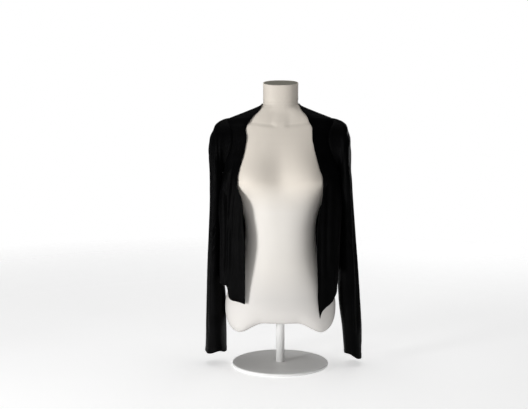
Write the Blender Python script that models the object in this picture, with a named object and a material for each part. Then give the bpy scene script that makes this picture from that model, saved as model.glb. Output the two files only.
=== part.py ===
"""Cropped open-front knit cardigan worn by a limbless dress form on a low round stand.

Metres, +Z up. The front faces -Y and +X is to the right as one looks at the front.
The origin is the middle of the stand's underside, on the surface that it stands on.

Angles round the torso are counted from the side line: 0 is the side seam,
+90 degrees the centre front and -90 degrees the centre back.
"""
import math

import bpy
import numpy as np

# ---------------------------------------------------------------- cloth
CLOTH_WALL = 0.0014
CLOTH_REST = 0.0009
SEAM_GAP = 0.0003
SLEEVE_LIFT = 0.0004
# Room over the form where it turns sharply, at the shoulder point and at the bust:
# height, span and room.
EASE = (
    (0.6860, 0.0120, 0.0010),
    (0.5310, 0.0220, 0.0014),
)

NECK_POINT_HEIGHT = 0.7315
SHOULDER_POINT_HEIGHT = 0.6900
UNDERARM_HEIGHT = 0.5450
ARMHOLE_FRONT_DEPTH = 0.050
ARMHOLE_BACK_DEPTH = 0.056
BACK_NECK_DROP = 0.004
BACK_NECK_FLAT = 0.25

FRONT_COLUMNS = 14
BACK_COLUMNS = 22
LOWER_ROWS = 10
LOWER_ROW_POWER = 0.80
ARMHOLE_ROWS = 9
SHOULDER_ROWS = 5
SHOULDER_ROW_POWER = 1.6
# Steps over which the lie of the cloth is felt for its slope.
SMALL_TURN = 0.004
SMALL_RISE = 0.0008

# Free front edges: distance from the middle plane on each side, by height.
FRONT_EDGE_COLUMNS = ("height", "left", "right")
FRONT_EDGE = (
    (0.150, 0.0946, 0.1046),
    (0.179, 0.0946, 0.1006),
    (0.245, 0.0945, 0.0978),
    (0.307, 0.0948, 0.0968),
    (0.364, 0.0950, 0.0964),
    (0.405, 0.0984, 0.0995),
    (0.430, 0.1000, 0.1022),
    (0.476, 0.1036, 0.1100),
    (0.500, 0.1118, 0.1121),
    (0.525, 0.1145, 0.1130),
    (0.557, 0.1096, 0.1045),
    (0.589, 0.1000, 0.0956),
    (0.621, 0.0930, 0.0883),
    (0.645, 0.0906, 0.0850),
    (0.660, 0.0932, 0.0850),
    (0.684, 0.0832, 0.0762),
    (0.6995, 0.0722, 0.0696),
    (0.7166, 0.0556, 0.0554),
    (0.7315, 0.0490, 0.0490),
)

# Hem heights across a front, from its free edge (0) to the side seam (1).
FRONT_HEM_COLUMNS = ("across", "left", "right")
FRONT_HEM = (
    (0.000, 0.1920, 0.1515),
    (0.040, 0.1926, 0.1675),
    (0.085, 0.1936, 0.1780),
    (0.153, 0.1952, 0.1870),
    (0.203, 0.1963, 0.1930),
    (0.254, 0.1978, 0.2010),
    (0.305, 0.2000, 0.2150),
    (0.339, 0.2045, 0.2260),
    (0.373, 0.2160, 0.2400),
    (0.407, 0.2345, 0.2540),
    (0.450, 0.2395, 0.2630),
    (0.550, 0.2440, 0.2690),
    (0.750, 0.2490, 0.2730),
    (1.000, 0.2510, 0.2720),
)
BACK_HEM_MIDDLE = 0.2400

# Where the cloth hangs clear of the form: half width, front and back depth, by height.
HANG_COLUMNS = ("height", "half_width", "front", "back")
HANG = (
    (0.140, 0.1570, 0.1110, 0.1210),
    (0.200, 0.1558, 0.1110, 0.1195),
    (0.300, 0.1545, 0.1105, 0.1165),
    (0.400, 0.1548, 0.1100, 0.1150),
    (0.480, 0.1540, 0.1090, 0.1145),
    (0.530, 0.1498, 0.1065, 0.1135),
    (0.570, 0.1465, 0.0970, 0.1100),
    (0.600, 0.1450, 0.0800, 0.1010),
    (0.640, 0.1300, 0.0560, 0.0800),
    (0.690, 0.0960, 0.0390, 0.0530),
    (0.705, 0.0760, 0.0340, 0.0460),
    (0.720, 0.0520, 0.0300, 0.0400),
    (0.735, 0.0380, 0.0270, 0.0350),
    (0.800, 0.0250, 0.0250, 0.0250),
)
HANG_BLEND = 0.0050

# Long soft ridges: angle at its top and at the hem, top height, half width, rise.
# The first of each front is the roll that hangs out beside the armhole, before the sleeve.
LEFT_FRONT_FOLDS = (
    (16.0, 21.0, 0.630, 8.0, 0.0224),
    (34.0, 31.0, 0.600, 4.5, 0.0036),
    (43.0, 41.0, 0.480, 4.0, 0.0018),
)
RIGHT_FRONT_FOLDS = (
    (15.0, 26.0, 0.632, 8.0, 0.0220),
    (34.0, 36.0, 0.600, 4.0, 0.0034),
    (43.0, 44.0, 0.460, 3.5, 0.0022),
)
# On the back the angle runs from the centre back, + towards the right side.
BACK_FOLDS = (
    (-77.0, -77.0, 0.600, 6.0, 0.0060),
    (-60.0, -62.0, 0.560, 6.5, 0.0030),
    (-40.0, -43.0, 0.590, 7.5, 0.0050),
    (-17.0, -15.0, 0.570, 7.0, 0.0040),
    (11.0, 13.0, 0.600, 7.0, 0.0048),
    (37.0, 39.0, 0.580, 7.5, 0.0045),
    (60.0, 62.0, 0.550, 6.5, 0.0030),
    (77.0, 77.0, 0.600, 6.0, 0.0060),
)
FOLD_FADE = 0.190

# Sleeve cap: the outer line of the shoulder, seen from the point just under the armhole,
# as angle, reach, front depth and back depth.
CAP_PIVOT_X = 0.1556
CAP_PIVOT_HEIGHT = 0.5410
CAP_INNER_REACH = 0.0040
LEFT_CAP = (
    (87.5, 0.1465, 0.0525, 0.0575),
    (83.4, 0.1415, 0.0545, 0.0580),
    (75.8, 0.1228, 0.0565, 0.0580),
    (64.3, 0.0954, 0.0585, 0.0577),
    (50.0, 0.0652, 0.0600, 0.0572),
    (32.0, 0.0480, 0.0612, 0.0565),
    (14.0, 0.0408, 0.0622, 0.0557),
)
RIGHT_CAP = (
    (87.5, 0.1465, 0.0525, 0.0575),
    (83.4, 0.1420, 0.0545, 0.0580),
    (75.8, 0.1205, 0.0565, 0.0580),
    (64.3, 0.0830, 0.0585, 0.0577),
    (50.0, 0.0580, 0.0600, 0.0572),
    (32.0, 0.0443, 0.0612, 0.0565),
    (14.0, 0.0392, 0.0622, 0.0557),
)
# Hanging sleeve, by height: inner and outer side, middle (+ is forward), half depth.
SLEEVE_COLUMNS = ("height", "inner", "outer", "forward", "half_depth")
LEFT_SLEEVE = (
    (0.538, 0.1593, 0.1945, 0.0036, 0.0590),
    (0.495, 0.1600, 0.1942, -0.0005, 0.0560),
    (0.430, 0.1607, 0.1966, -0.0060, 0.0520),
    (0.352, 0.1608, 0.2016, -0.0105, 0.0480),
    (0.296, 0.1606, 0.2042, -0.0120, 0.0460),
    (0.245, 0.1605, 0.2072, -0.0120, 0.0452),
    (0.214, 0.1562, 0.2085, -0.0118, 0.0446),
    (0.190, 0.1556, 0.2092, -0.0115, 0.0440),
    (0.106, 0.1528, 0.2092, -0.0100, 0.0425),
    (0.036, 0.1510, 0.2105, -0.0100, 0.0415),
)
RIGHT_SLEEVE = (
    (0.538, 0.1593, 0.1950, 0.0036, 0.0590),
    (0.495, 0.1597, 0.1988, -0.0005, 0.0560),
    (0.430, 0.1605, 0.2044, -0.0060, 0.0520),
    (0.352, 0.1608, 0.2115, -0.0105, 0.0480),
    (0.296, 0.1604, 0.2160, -0.0120, 0.0460),
    (0.236, 0.1595, 0.2205, -0.0120, 0.0450),
    (0.190, 0.1618, 0.2230, -0.0115, 0.0440),
    (0.106, 0.1712, 0.2265, -0.0100, 0.0425),
    (0.0275, 0.1790, 0.2300, -0.0100, 0.0415),
)
# Rings down a hanging sleeve, and the slope of each cuff (outer side lower).
SLEEVE_RINGS = 12
LEFT_CUFF_SLOPE = 0.02
RIGHT_CUFF_SLOPE = 0.24
CUFF_SLOPE_POWER = 3
# Soft waves round a hanging sleeve, how they wind, and where they have grown to the full.
SLEEVE_WAVES = 3
SLEEVE_WAVE_RISE = 0.0016
SLEEVE_WAVE_TWIST = 3.0
SLEEVE_WAVE_GROWN = 0.4

# ---------------------------------------------------------------- dress form
FORM_POWER = 2.3
FORM_COLUMNS_ROUND = 36
FORM_COLUMNS = ("height", "half_width", "front", "back")
FORM = (
    (0.0968, 0.1140, 0.0720, 0.0760),
    (0.1003, 0.1285, 0.0850, 0.0890),
    (0.1075, 0.1390, 0.0925, 0.0975),
    (0.1215, 0.1466, 0.0975, 0.1035),
    (0.1450, 0.1520, 0.1010, 0.1085),
    (0.1700, 0.1545, 0.1025, 0.1110),
    (0.2050, 0.1490, 0.1010, 0.1100),
    (0.2400, 0.1350, 0.0980, 0.1050),
    (0.2750, 0.1180, 0.0935, 0.0975),
    (0.3100, 0.1055, 0.0885, 0.0880),
    (0.3440, 0.0995, 0.0850, 0.0815),
    (0.3800, 0.0980, 0.0845, 0.0805),
    (0.4150, 0.1010, 0.0860, 0.0840),
    (0.4500, 0.1110, 0.0885, 0.0910),
    (0.4800, 0.1250, 0.0910, 0.0980),
    (0.5100, 0.1390, 0.0925, 0.1040),
    (0.5400, 0.1465, 0.0925, 0.1080),
    (0.5700, 0.1495, 0.0905, 0.1105),
    (0.6000, 0.1515, 0.0865, 0.1105),
    (0.6300, 0.1525, 0.0800, 0.1080),
    (0.6550, 0.1520, 0.0725, 0.1020),
    (0.6730, 0.1500, 0.0665, 0.0950),
    (0.6830, 0.1472, 0.0635, 0.0890),
    (0.6890, 0.1420, 0.0615, 0.0850),
    (0.6960, 0.1270, 0.0595, 0.0800),
    (0.7040, 0.1065, 0.0570, 0.0740),
    (0.7120, 0.0865, 0.0545, 0.0680),
    (0.7200, 0.0670, 0.0522, 0.0620),
    (0.7270, 0.0530, 0.0502, 0.0555),
    (0.7340, 0.0490, 0.0488, 0.0505),
    (0.7460, 0.0486, 0.0483, 0.0488),
    (0.7640, 0.0482, 0.0482, 0.0482),
    (0.7896, 0.0485, 0.0485, 0.0485),
)
BUST_ANGLE = 51.0
BUST_HALF_ANGLE = 24.0
BUST_HEIGHT = 0.530
BUST_RISE = 0.033
BUST_UPPER_SPAN = 0.062
BUST_LOWER_SPAN = 0.036

LOWER_ARCH_RISE = 0.0358
LOWER_ARCH_FLAT = 0.045
LOWER_ARCH_END = 0.124
LOWER_ARCH_TOP = 0.230
UNDERSIDE_STEPS = (0.68, 0.35)

NECK_TILT = 0.152
NECK_TILT_START = 0.735
NECK_TOP = 0.7896
NECK_RIM = 0.0025
NECK_RECESS = 0.0040
CAP_THICKNESS = 0.0030

# ---------------------------------------------------------------- stand
BASE_RADIUS = 0.135
BASE_THICKNESS = 0.008
BASE_EDGE = 0.003
BASE_FOOT_EDGE = 0.001
POST_RADIUS = 0.012
FLANGE_RADIUS = 0.030
FLANGE_THICKNESS = 0.005
TURN_SEGMENTS = 40

# ---------------------------------------------------------------- colours and roughness
BLACK_KNIT = (0.012, 0.012, 0.013)
CREAM = (0.80, 0.77, 0.72)
GREY_CAP = (0.20, 0.19, 0.16)
PALE_STAND = (0.82, 0.82, 0.81)
KNIT_ROUGHNESS = 0.85
FORM_ROUGHNESS = 0.45
CAP_ROUGHNESS = 0.60
STAND_ROUGHNESS = 0.45


def column_curve(rows, names, column):
    """A smooth curve through one named column of a table, by its first column."""
    table = np.array(sorted(rows), dtype=float)
    at = table[:, 0]
    value = table[:, names.index(column)]
    step = np.diff(at)
    slope = np.diff(value) / step
    tangent = np.empty_like(value)
    tangent[0] = slope[0]
    tangent[-1] = slope[-1]
    tangent[1:-1] = (slope[:-1] * step[1:] + slope[1:] * step[:-1]) / (step[:-1] + step[1:])
    turning = slope[:-1] * slope[1:] <= 0.0
    tangent[1:-1][turning] = 0.0

    def curve(x):
        x = np.clip(x, at[0], at[-1])
        i = np.clip(np.searchsorted(at, x) - 1, 0, len(step) - 1)
        t = (x - at[i]) / step[i]
        start = value[i] + tangent[i] * step[i] * t
        end = value[i + 1] - tangent[i + 1] * step[i] * (1.0 - t)
        ease = t * t * (3.0 - 2.0 * t)
        return start * (1.0 - ease) + end * ease

    return curve


def smoothstep(x, low, high):
    t = np.clip((x - low) / (high - low), 0.0, 1.0)
    return t * t * (3.0 - 2.0 * t)


FORM_HALF_WIDTH = column_curve(FORM, FORM_COLUMNS, "half_width")
FORM_FRONT = column_curve(FORM, FORM_COLUMNS, "front")
FORM_BACK = column_curve(FORM, FORM_COLUMNS, "back")
HANG_HALF_WIDTH = column_curve(HANG, HANG_COLUMNS, "half_width")
HANG_FRONT = column_curve(HANG, HANG_COLUMNS, "front")
HANG_BACK = column_curve(HANG, HANG_COLUMNS, "back")
QUARTER_TURN = np.radians(np.linspace(0.0, 89.0, 357))


def section_radius(angle, half_width, front, back):
    """Reach of a rounded section at an angle counted forward from the side line."""
    depth = np.where(angle >= 0.0, front, back)
    across = (np.abs(np.cos(angle)) / half_width) ** FORM_POWER
    deep = (np.abs(np.sin(angle)) / depth) ** FORM_POWER
    return (across + deep) ** (-1.0 / FORM_POWER)


def bust(angle, z):
    """Rise of the bust over the plain section."""
    span = np.where(z > BUST_HEIGHT, BUST_UPPER_SPAN, BUST_LOWER_SPAN)
    up = np.exp(-((z - BUST_HEIGHT) / span) ** 2)
    turn = (angle - math.radians(BUST_ANGLE)) / math.radians(BUST_HALF_ANGLE)
    return BUST_RISE * up * np.exp(-turn ** 2)


def form_radius(angle, z):
    plain = section_radius(angle, FORM_HALF_WIDTH(z), FORM_FRONT(z), FORM_BACK(z))
    return plain + bust(angle, z)


def folds(angle, z, hem, ridges):
    """Sum of the long soft ridges at an angle in degrees."""
    total = np.zeros_like(angle + z)
    for top_angle, hem_angle, top_height, half_angle, rise in ridges:
        down = np.clip((top_height - z) / (top_height - hem), 0.0, 1.2)
        middle = top_angle + (hem_angle - top_angle) * down
        grow = smoothstep(top_height - z, 0.0, FOLD_FADE)
        total = total + rise * grow * np.exp(-((angle - middle) / half_angle) ** 2)
    return total


def cloth_radius(angle, z):
    """Reach of the cloth: on the form where it rests, straight down where it hangs."""
    on_form = form_radius(angle, z)
    hang = section_radius(angle, HANG_HALF_WIDTH(z), HANG_FRONT(z), HANG_BACK(z))
    apart = on_form - hang
    laid = 0.5 * (on_form + hang + np.sqrt(apart * apart + HANG_BLEND * HANG_BLEND))
    for height, span, room in EASE:
        laid = laid + room * np.exp(-((z - height) / span) ** 2)
    return laid


def front_surface(side, ridges, hem):
    """The lie of one front, as a function of angle and height."""

    def surface(angle, z):
        reach = cloth_radius(angle, z) + folds(np.degrees(angle), z, hem, ridges)
        return np.stack([side * reach * np.cos(angle), -reach * np.sin(angle), z], axis=-1)

    return surface


def back_surface(angle, z):
    """The lie of the back, its angle counted from the centre back."""
    reach = cloth_radius(np.abs(angle) - 0.5 * np.pi, z)
    reach = reach + folds(np.degrees(angle), z, BACK_HEM_MIDDLE, BACK_FOLDS)
    return np.stack([reach * np.sin(angle), reach * np.cos(angle), z], axis=-1)


def solve_angle(wanted, z, measure):
    """Angle at which a measure of the cloth section (its x or y) has the wanted value."""
    reach = cloth_radius(QUARTER_TURN, np.full_like(QUARTER_TURN, z))
    if measure == "x":
        value = reach * np.cos(QUARTER_TURN)
        keep = np.maximum.accumulate(value[::-1])[::-1]
        return float(np.interp(-wanted, -keep, QUARTER_TURN))
    value = np.maximum.accumulate(reach * np.sin(QUARTER_TURN))
    return float(np.interp(wanted, value, QUARTER_TURN))


def solve_back_angle(depth, z):
    """Angle behind the side line at which the cloth is that deep."""
    reach = cloth_radius(-QUARTER_TURN, np.full_like(QUARTER_TURN, z))
    value = np.maximum.accumulate(reach * np.sin(QUARTER_TURN))
    return float(np.interp(depth, value, QUARTER_TURN))


def row_heights():
    """Heights of the rows from the underarm up: armhole rows, then shoulder rows."""
    half = 0.5 * (SHOULDER_POINT_HEIGHT - UNDERARM_HEIGHT)
    middle = 0.5 * (SHOULDER_POINT_HEIGHT + UNDERARM_HEIGHT)
    turn = np.pi * np.arange(ARMHOLE_ROWS + 1) / ARMHOLE_ROWS
    armhole = middle - half * np.cos(turn)
    rise = np.linspace(0.0, 1.0, SHOULDER_ROWS + 1)[1:] ** SHOULDER_ROW_POWER
    shoulder = SHOULDER_POINT_HEIGHT + (NECK_POINT_HEIGHT - SHOULDER_POINT_HEIGHT) * rise
    return armhole, np.sin(turn), shoulder


def mesh_object(name, vertices, faces, colour, roughness):
    """A named object with its own plain material; faces are flipped to face out."""
    mesh = bpy.data.meshes.new(name)
    mesh.from_pydata([tuple(float(c) for c in v) for v in vertices], [], faces)
    mesh.update()
    triangles = 0.0
    for polygon in mesh.polygons:
        corners = [mesh.vertices[i].co for i in polygon.vertices]
        for k in range(1, len(corners) - 1):
            triangles += corners[0].dot(corners[k].cross(corners[k + 1]))
    if triangles < 0.0:
        mesh.flip_normals()
    material = bpy.data.materials.new(name + "_material")
    material.use_nodes = True
    shader = material.node_tree.nodes["Principled BSDF"]
    shader.inputs["Base Color"].default_value = (*colour, 1.0)
    shader.inputs["Roughness"].default_value = roughness
    shader.inputs["Metallic"].default_value = 0.0
    mesh.materials.append(material)
    thing = bpy.data.objects.new(name, mesh)
    bpy.context.scene.collection.objects.link(thing)
    return thing


def panel_walls(surface, angle, height, seam_columns, seam_side):
    """Inner and outer faces of a panel; its seam edges stay in a plane beside the side line."""
    points = surface(angle, height)
    across = surface(angle + SMALL_TURN, height) - surface(angle - SMALL_TURN, height)
    upward = surface(angle, height + SMALL_RISE) - surface(angle, height - SMALL_RISE)
    normal = np.cross(across, upward)
    out = points * np.array([1.0, 1.0, 0.0])
    normal *= np.sign(np.sum(normal * out, axis=-1, keepdims=True))
    for column in seam_columns:
        on_side = np.abs(angle[:, column] - angle[0, column]) < 1e-9
        normal[on_side, column, 1] = 0.0
        points[on_side, column, 1] = 0.5 * seam_side * SEAM_GAP
    normal /= np.linalg.norm(normal, axis=-1, keepdims=True)
    inner = points + normal * CLOTH_REST
    outer = points + normal * (CLOTH_REST + CLOTH_WALL)
    return inner, outer, normal


def lower_steps():
    """Shares of the way from the hem up to the underarm."""
    return (np.arange(LOWER_ROWS) / LOWER_ROWS) ** LOWER_ROW_POWER


def wall_faces(points, quads):
    """Triangles for both faces of a wall, each quad cut along its shorter diagonal."""
    offset = len(points)
    faces = []
    for a, b, c, d in quads:
        if np.linalg.norm(points[a] - points[c]) < np.linalg.norm(points[b] - points[d]):
            halves = ((a, b, c), (a, c, d))
        else:
            halves = ((a, b, d), (b, c, d))
        for i, j, k in halves:
            faces.append((i, j, k))
            faces.append((offset + k, offset + j, offset + i))
    return faces


def panel_object(name, inner, outer):
    """A closed wall between two equal grids."""
    rows, columns = inner.shape[:2]
    index = np.arange(rows * columns).reshape(rows, columns)
    quads = []
    for row in range(rows - 1):
        for column in range(columns - 1):
            quads.append((index[row, column], index[row, column + 1],
                          index[row + 1, column + 1], index[row + 1, column]))
    points = inner.reshape(-1, 3)
    faces = wall_faces(points, quads)
    border = list(index[0, :]) + list(index[1:, -1])
    border += list(index[-1, -2::-1]) + list(index[-2:0:-1, 0])
    offset = len(points)
    for k, a in enumerate(border):
        b = border[(k + 1) % len(border)]
        faces.append((b, a, offset + a, offset + b))
    vertices = np.concatenate([points, outer.reshape(-1, 3)])
    return mesh_object(name, vertices, faces, BLACK_KNIT, KNIT_ROUGHNESS)


def tube_object(name, inner, outer):
    """A closed wall between two stacks of rings, open at both ends as a sleeve is."""
    rings, count = inner.shape[:2]
    index = np.arange(rings * count).reshape(rings, count)
    following = np.roll(index, -1, axis=1)
    quads = []
    for ring in range(rings - 1):
        for k in range(count):
            quads.append((index[ring, k], following[ring, k],
                          following[ring + 1, k], index[ring + 1, k]))
    points = inner.reshape(-1, 3)
    faces = wall_faces(points, quads)
    offset = len(points)
    for k in range(count):
        a = index[0, k]
        b = following[0, k]
        faces.append((b, a, offset + a, offset + b))
        a = index[-1, k]
        b = following[-1, k]
        faces.append((a, b, offset + b, offset + a))
    vertices = np.concatenate([points, outer.reshape(-1, 3)])
    return mesh_object(name, vertices, faces, BLACK_KNIT, KNIT_ROUGHNESS)


def front_panel(name, side, edge_name, ridges):
    """One front: from its free edge round to the side seam, armhole and shoulder seam."""
    edge = column_curve(FRONT_EDGE, FRONT_EDGE_COLUMNS, edge_name)
    hem = column_curve(FRONT_HEM, FRONT_HEM_COLUMNS, edge_name)
    armhole, sweep, shoulder = row_heights()
    across = np.linspace(0.0, 1.0, FRONT_COLUMNS + 1)
    rows = []
    for step in lower_steps():
        heights = hem(across) + (UNDERARM_HEIGHT - hem(across)) * step
        start = solve_angle(float(edge(heights[0])), float(heights[0]), "x")
        rows.append((heights, start, 0.0))
    for height, turn in zip(armhole, sweep):
        start = solve_angle(float(edge(height)), height, "x")
        end = solve_angle(ARMHOLE_FRONT_DEPTH * turn, height, "y")
        rows.append((np.full_like(across, height), start, end))
    for height in shoulder:
        start = solve_angle(float(edge(height)), height, "x")
        rows.append((np.full_like(across, height), start, 0.0))
    surface = front_surface(side, ridges, float(hem(0.5)))
    height = np.array([row[0] for row in rows])
    angle = np.array([start + (end - start) * across for _, start, end in rows])
    inner, outer, normal = panel_walls(surface, angle, height, (-1,), -1.0)
    panel_object(name, inner, outer)
    first = LOWER_ROWS
    last = LOWER_ROWS + ARMHOLE_ROWS + 1
    return outer[first:last, -1], normal[first:last, -1]


def back_panel():
    """The back, from the left side seam round the back to the right one."""
    left_hem = FRONT_HEM[-1][FRONT_HEM_COLUMNS.index("left")]
    right_hem = FRONT_HEM[-1][FRONT_HEM_COLUMNS.index("right")]
    hem = column_curve(((-1.0, left_hem), (0.0, BACK_HEM_MIDDLE), (1.0, right_hem)),
                       ("across", "height"), "height")
    armhole, sweep, shoulder = row_heights()
    across = np.linspace(-1.0, 1.0, BACK_COLUMNS + 1)
    rows = []
    for step in lower_steps():
        heights = hem(across) + (UNDERARM_HEIGHT - hem(across)) * step
        rows.append((heights, 0.0))
    for height, turn in zip(armhole, sweep):
        end = solve_back_angle(ARMHOLE_BACK_DEPTH * turn, height)
        rows.append((np.full_like(across, height), end))
    for step, height in enumerate(shoulder, 1):
        dip = BACK_NECK_DROP * step / len(shoulder)
        heights = height - dip * (1.0 - smoothstep(np.abs(across), BACK_NECK_FLAT, 1.0))
        rows.append((heights, 0.0))
    height = np.array([row[0] for row in rows])
    angle = np.array([(0.5 * np.pi - end) * across for _, end in rows])
    inner, outer, normal = panel_walls(back_surface, angle, height, (0, -1), 1.0)
    panel_object("cardigan_back", inner, outer)
    first = LOWER_ROWS
    last = LOWER_ROWS + ARMHOLE_ROWS + 1
    left = (outer[first:last, 0], normal[first:last, 0])
    right = (outer[first:last, -1], normal[first:last, -1])
    return left, right


def armhole_ring(front, back):
    """Ring of points round the armhole, up the front edge and down the back edge."""
    front_points, front_normals = front
    back_points, back_normals = back
    bottom = 0.5 * (front_points[0] + back_points[0])
    top = 0.5 * (front_points[-1] + back_points[-1])
    points = np.concatenate([[bottom], front_points[1:-1], [top], back_points[-2:0:-1]])
    normals = np.concatenate([front_normals[:-1], back_normals[:0:-1]])
    middle = np.array([0.0, 0.0, 0.5 * (SHOULDER_POINT_HEIGHT + UNDERARM_HEIGHT)])
    away = points - middle
    away[:, 0] = 0.0
    away /= np.linalg.norm(away, axis=1, keepdims=True)
    away -= normals * np.sum(away * normals, axis=1, keepdims=True)
    away /= np.linalg.norm(away, axis=1, keepdims=True)
    inner = points + normals * SEAM_GAP
    return inner, inner + away * CLOTH_WALL + normals * SLEEVE_LIFT


def sleeve_object(name, side, front, back, cap, table, cuff_slope):
    """One sleeve: armhole ring, cap rings turned about the underarm, hanging rings."""
    start_inner, start_outer = armhole_ring(front, back)
    inner_rings = [start_inner]
    outer_rings = [start_outer]
    count = 2 * ARMHOLE_ROWS
    turn = 2.0 * np.pi * np.arange(count) / count

    def add_ring(centre, reach, forward_depth, back_depth, lean, wave):
        """Oval ring; lean tells how its long way is tilted from level (0) to upright."""
        for wall, rings in ((CLOTH_WALL, inner_rings), (0.0, outer_rings)):
            depth = np.where(np.sin(turn) >= 0.0, forward_depth, back_depth)
            out = -(reach - wall + wave) * np.cos(turn)
            y = -(depth - wall + wave) * np.sin(turn)
            x = centre[0] + out * math.cos(lean)
            z = centre[2] + out * math.sin(lean)
            rings.append(np.stack([side * x, centre[1] + y, z], axis=-1))

    for angle, reach, front_depth, back_depth in cap:
        lean = math.radians(angle)
        half = 0.5 * (reach - CAP_INNER_REACH)
        middle = 0.5 * (reach + CAP_INNER_REACH)
        centre = (CAP_PIVOT_X + middle * math.cos(lean), 0.0,
                  CAP_PIVOT_HEIGHT + middle * math.sin(lean))
        add_ring(centre, half, front_depth, back_depth, lean, 0.0)

    curves = {c: column_curve(table, SLEEVE_COLUMNS, c) for c in SLEEVE_COLUMNS[1:]}
    top = table[0][0]
    bottom = table[-1][0]
    for k in range(SLEEVE_RINGS + 1):
        share = k / SLEEVE_RINGS
        height = top + (bottom - top) * share
        inner_x = float(curves["inner"](height))
        outer_x = float(curves["outer"](height))
        half_depth = float(curves["half_depth"](height))
        centre = (0.5 * (inner_x + outer_x), -float(curves["forward"](height)), height)
        swell = SLEEVE_WAVE_RISE * float(smoothstep(share, 0.0, SLEEVE_WAVE_GROWN))
        wave = swell * np.cos(SLEEVE_WAVES * turn + side + SLEEVE_WAVE_TWIST * share)
        lean = -math.atan(cuff_slope) * share ** CUFF_SLOPE_POWER
        add_ring(centre, 0.5 * (outer_x - inner_x), half_depth, half_depth, lean, wave)
    return tube_object(name, np.array(inner_rings), np.array(outer_rings))


def ring_stack(name, rings, colour, roughness):
    """A closed body from stacked rings with a middle point at each end."""
    count = len(rings[0])
    vertices = [p for ring in rings for p in ring]
    vertices.append(np.mean(rings[0], axis=0))
    vertices.append(np.mean(rings[-1], axis=0))
    first = len(vertices) - 2
    last = len(vertices) - 1
    end = (len(rings) - 1) * count
    faces = []
    for k in range(count):
        n = (k + 1) % count
        for ring in range(len(rings) - 1):
            a = ring * count
            faces.append((a + k, a + n, a + count + n, a + count + k))
        faces.append((first, n, k))
        faces.append((last, end + k, end + n))
    return mesh_object(name, vertices, faces, colour, roughness)


def form_point(angle, radius, z):
    """A point of the form with its arched lower edge and its tilted neck top."""
    x = radius * math.cos(angle)
    y = radius * math.sin(angle)
    arch = 1.0 - float(smoothstep(abs(x), LOWER_ARCH_FLAT, LOWER_ARCH_END))
    low = 1.0 - float(smoothstep(z, FORM[0][0], LOWER_ARCH_TOP))
    tilt = NECK_TILT * y * float(smoothstep(z, NECK_TILT_START, NECK_TOP - NECK_RECESS))
    return np.array([x, y, z + LOWER_ARCH_RISE * arch * low + tilt])


def dress_form():
    """Torso, neck and underside as one stack of rings."""
    count = FORM_COLUMNS_ROUND
    turns = [2.0 * math.pi * k / count for k in range(count)]

    def ring(z, scale):
        points = []
        for turn in turns:
            forward = math.asin(max(-1.0, min(1.0, -math.sin(turn))))
            reach = float(form_radius(np.array(forward), np.array(z))) * scale
            points.append(form_point(turn, reach, z))
        return points

    rings = [ring(FORM[0][0], share) for share in reversed(UNDERSIDE_STEPS)]
    rings += [ring(row[0], 1.0) for row in FORM]
    rim = 1.0 - NECK_RIM / FORM[-1][1]
    rings.append(ring(NECK_TOP, rim))
    floor = []
    for point in rings[-1]:
        floor.append(point - np.array([0.0, 0.0, NECK_RECESS]))
    rings.append(floor)
    return ring_stack("dress_form", rings, CREAM, FORM_ROUGHNESS)


def neck_cap():
    """Grey disc that lies in the recess of the neck."""
    radius = FORM[-1][1] - NECK_RIM - SEAM_GAP
    bottom = NECK_TOP - NECK_RECESS + SEAM_GAP
    rings = []
    for height in (bottom, bottom + CAP_THICKNESS):
        ring = []
        for k in range(FORM_COLUMNS_ROUND):
            turn = 2.0 * math.pi * k / FORM_COLUMNS_ROUND
            x = radius * math.cos(turn)
            y = radius * math.sin(turn)
            ring.append(np.array([x, y, height + NECK_TILT * y]))
        rings.append(ring)
    return ring_stack("neck_cap", rings, GREY_CAP, CAP_ROUGHNESS)


def turned(name, profile, colour, roughness):
    """A round body from a profile of (radius, height) pairs, bottom to top."""
    rings = []
    for radius, height in profile:
        ring = []
        for k in range(TURN_SEGMENTS):
            turn = 2.0 * math.pi * k / TURN_SEGMENTS
            ring.append(np.array([radius * math.cos(turn), radius * math.sin(turn), height]))
        rings.append(ring)
    return ring_stack(name, rings, colour, roughness)


def stand():
    """Round base plate and the post with the flange that carries the form."""
    turned("stand_base",
           ((BASE_RADIUS - BASE_FOOT_EDGE, 0.0),
            (BASE_RADIUS, BASE_FOOT_EDGE),
            (BASE_RADIUS, BASE_THICKNESS - BASE_EDGE),
            (BASE_RADIUS - BASE_EDGE, BASE_THICKNESS)),
           PALE_STAND, STAND_ROUGHNESS)
    top = FORM[0][0] + LOWER_ARCH_RISE - SEAM_GAP
    turned("stand_post",
           ((POST_RADIUS, BASE_THICKNESS + SEAM_GAP),
            (POST_RADIUS, top - FLANGE_THICKNESS),
            (FLANGE_RADIUS, top - FLANGE_THICKNESS),
            (FLANGE_RADIUS, top)),
           PALE_STAND, STAND_ROUGHNESS)


def build():
    for thing in list(bpy.data.objects):
        bpy.data.objects.remove(thing, do_unlink=True)
    stand()
    dress_form()
    neck_cap()
    left_back, right_back = back_panel()
    left_front = front_panel("cardigan_front_left", -1.0, "left", LEFT_FRONT_FOLDS)
    right_front = front_panel("cardigan_front_right", 1.0, "right", RIGHT_FRONT_FOLDS)
    sleeve_object("cardigan_sleeve_left", -1.0, left_front, left_back,
                  LEFT_CAP, LEFT_SLEEVE, LEFT_CUFF_SLOPE)
    sleeve_object("cardigan_sleeve_right", 1.0, right_front, right_back,
                  RIGHT_CAP, RIGHT_SLEEVE, RIGHT_CUFF_SLOPE)


build()
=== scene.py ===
"""Black knit cardigan on a cream limbless dress form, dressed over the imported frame.

Metres, +Z up, the front faces -Y and +X is to the right as one looks at the front.
The cloth follows the same tables as the frame's solids, on much finer grids.
"""
import math

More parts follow.
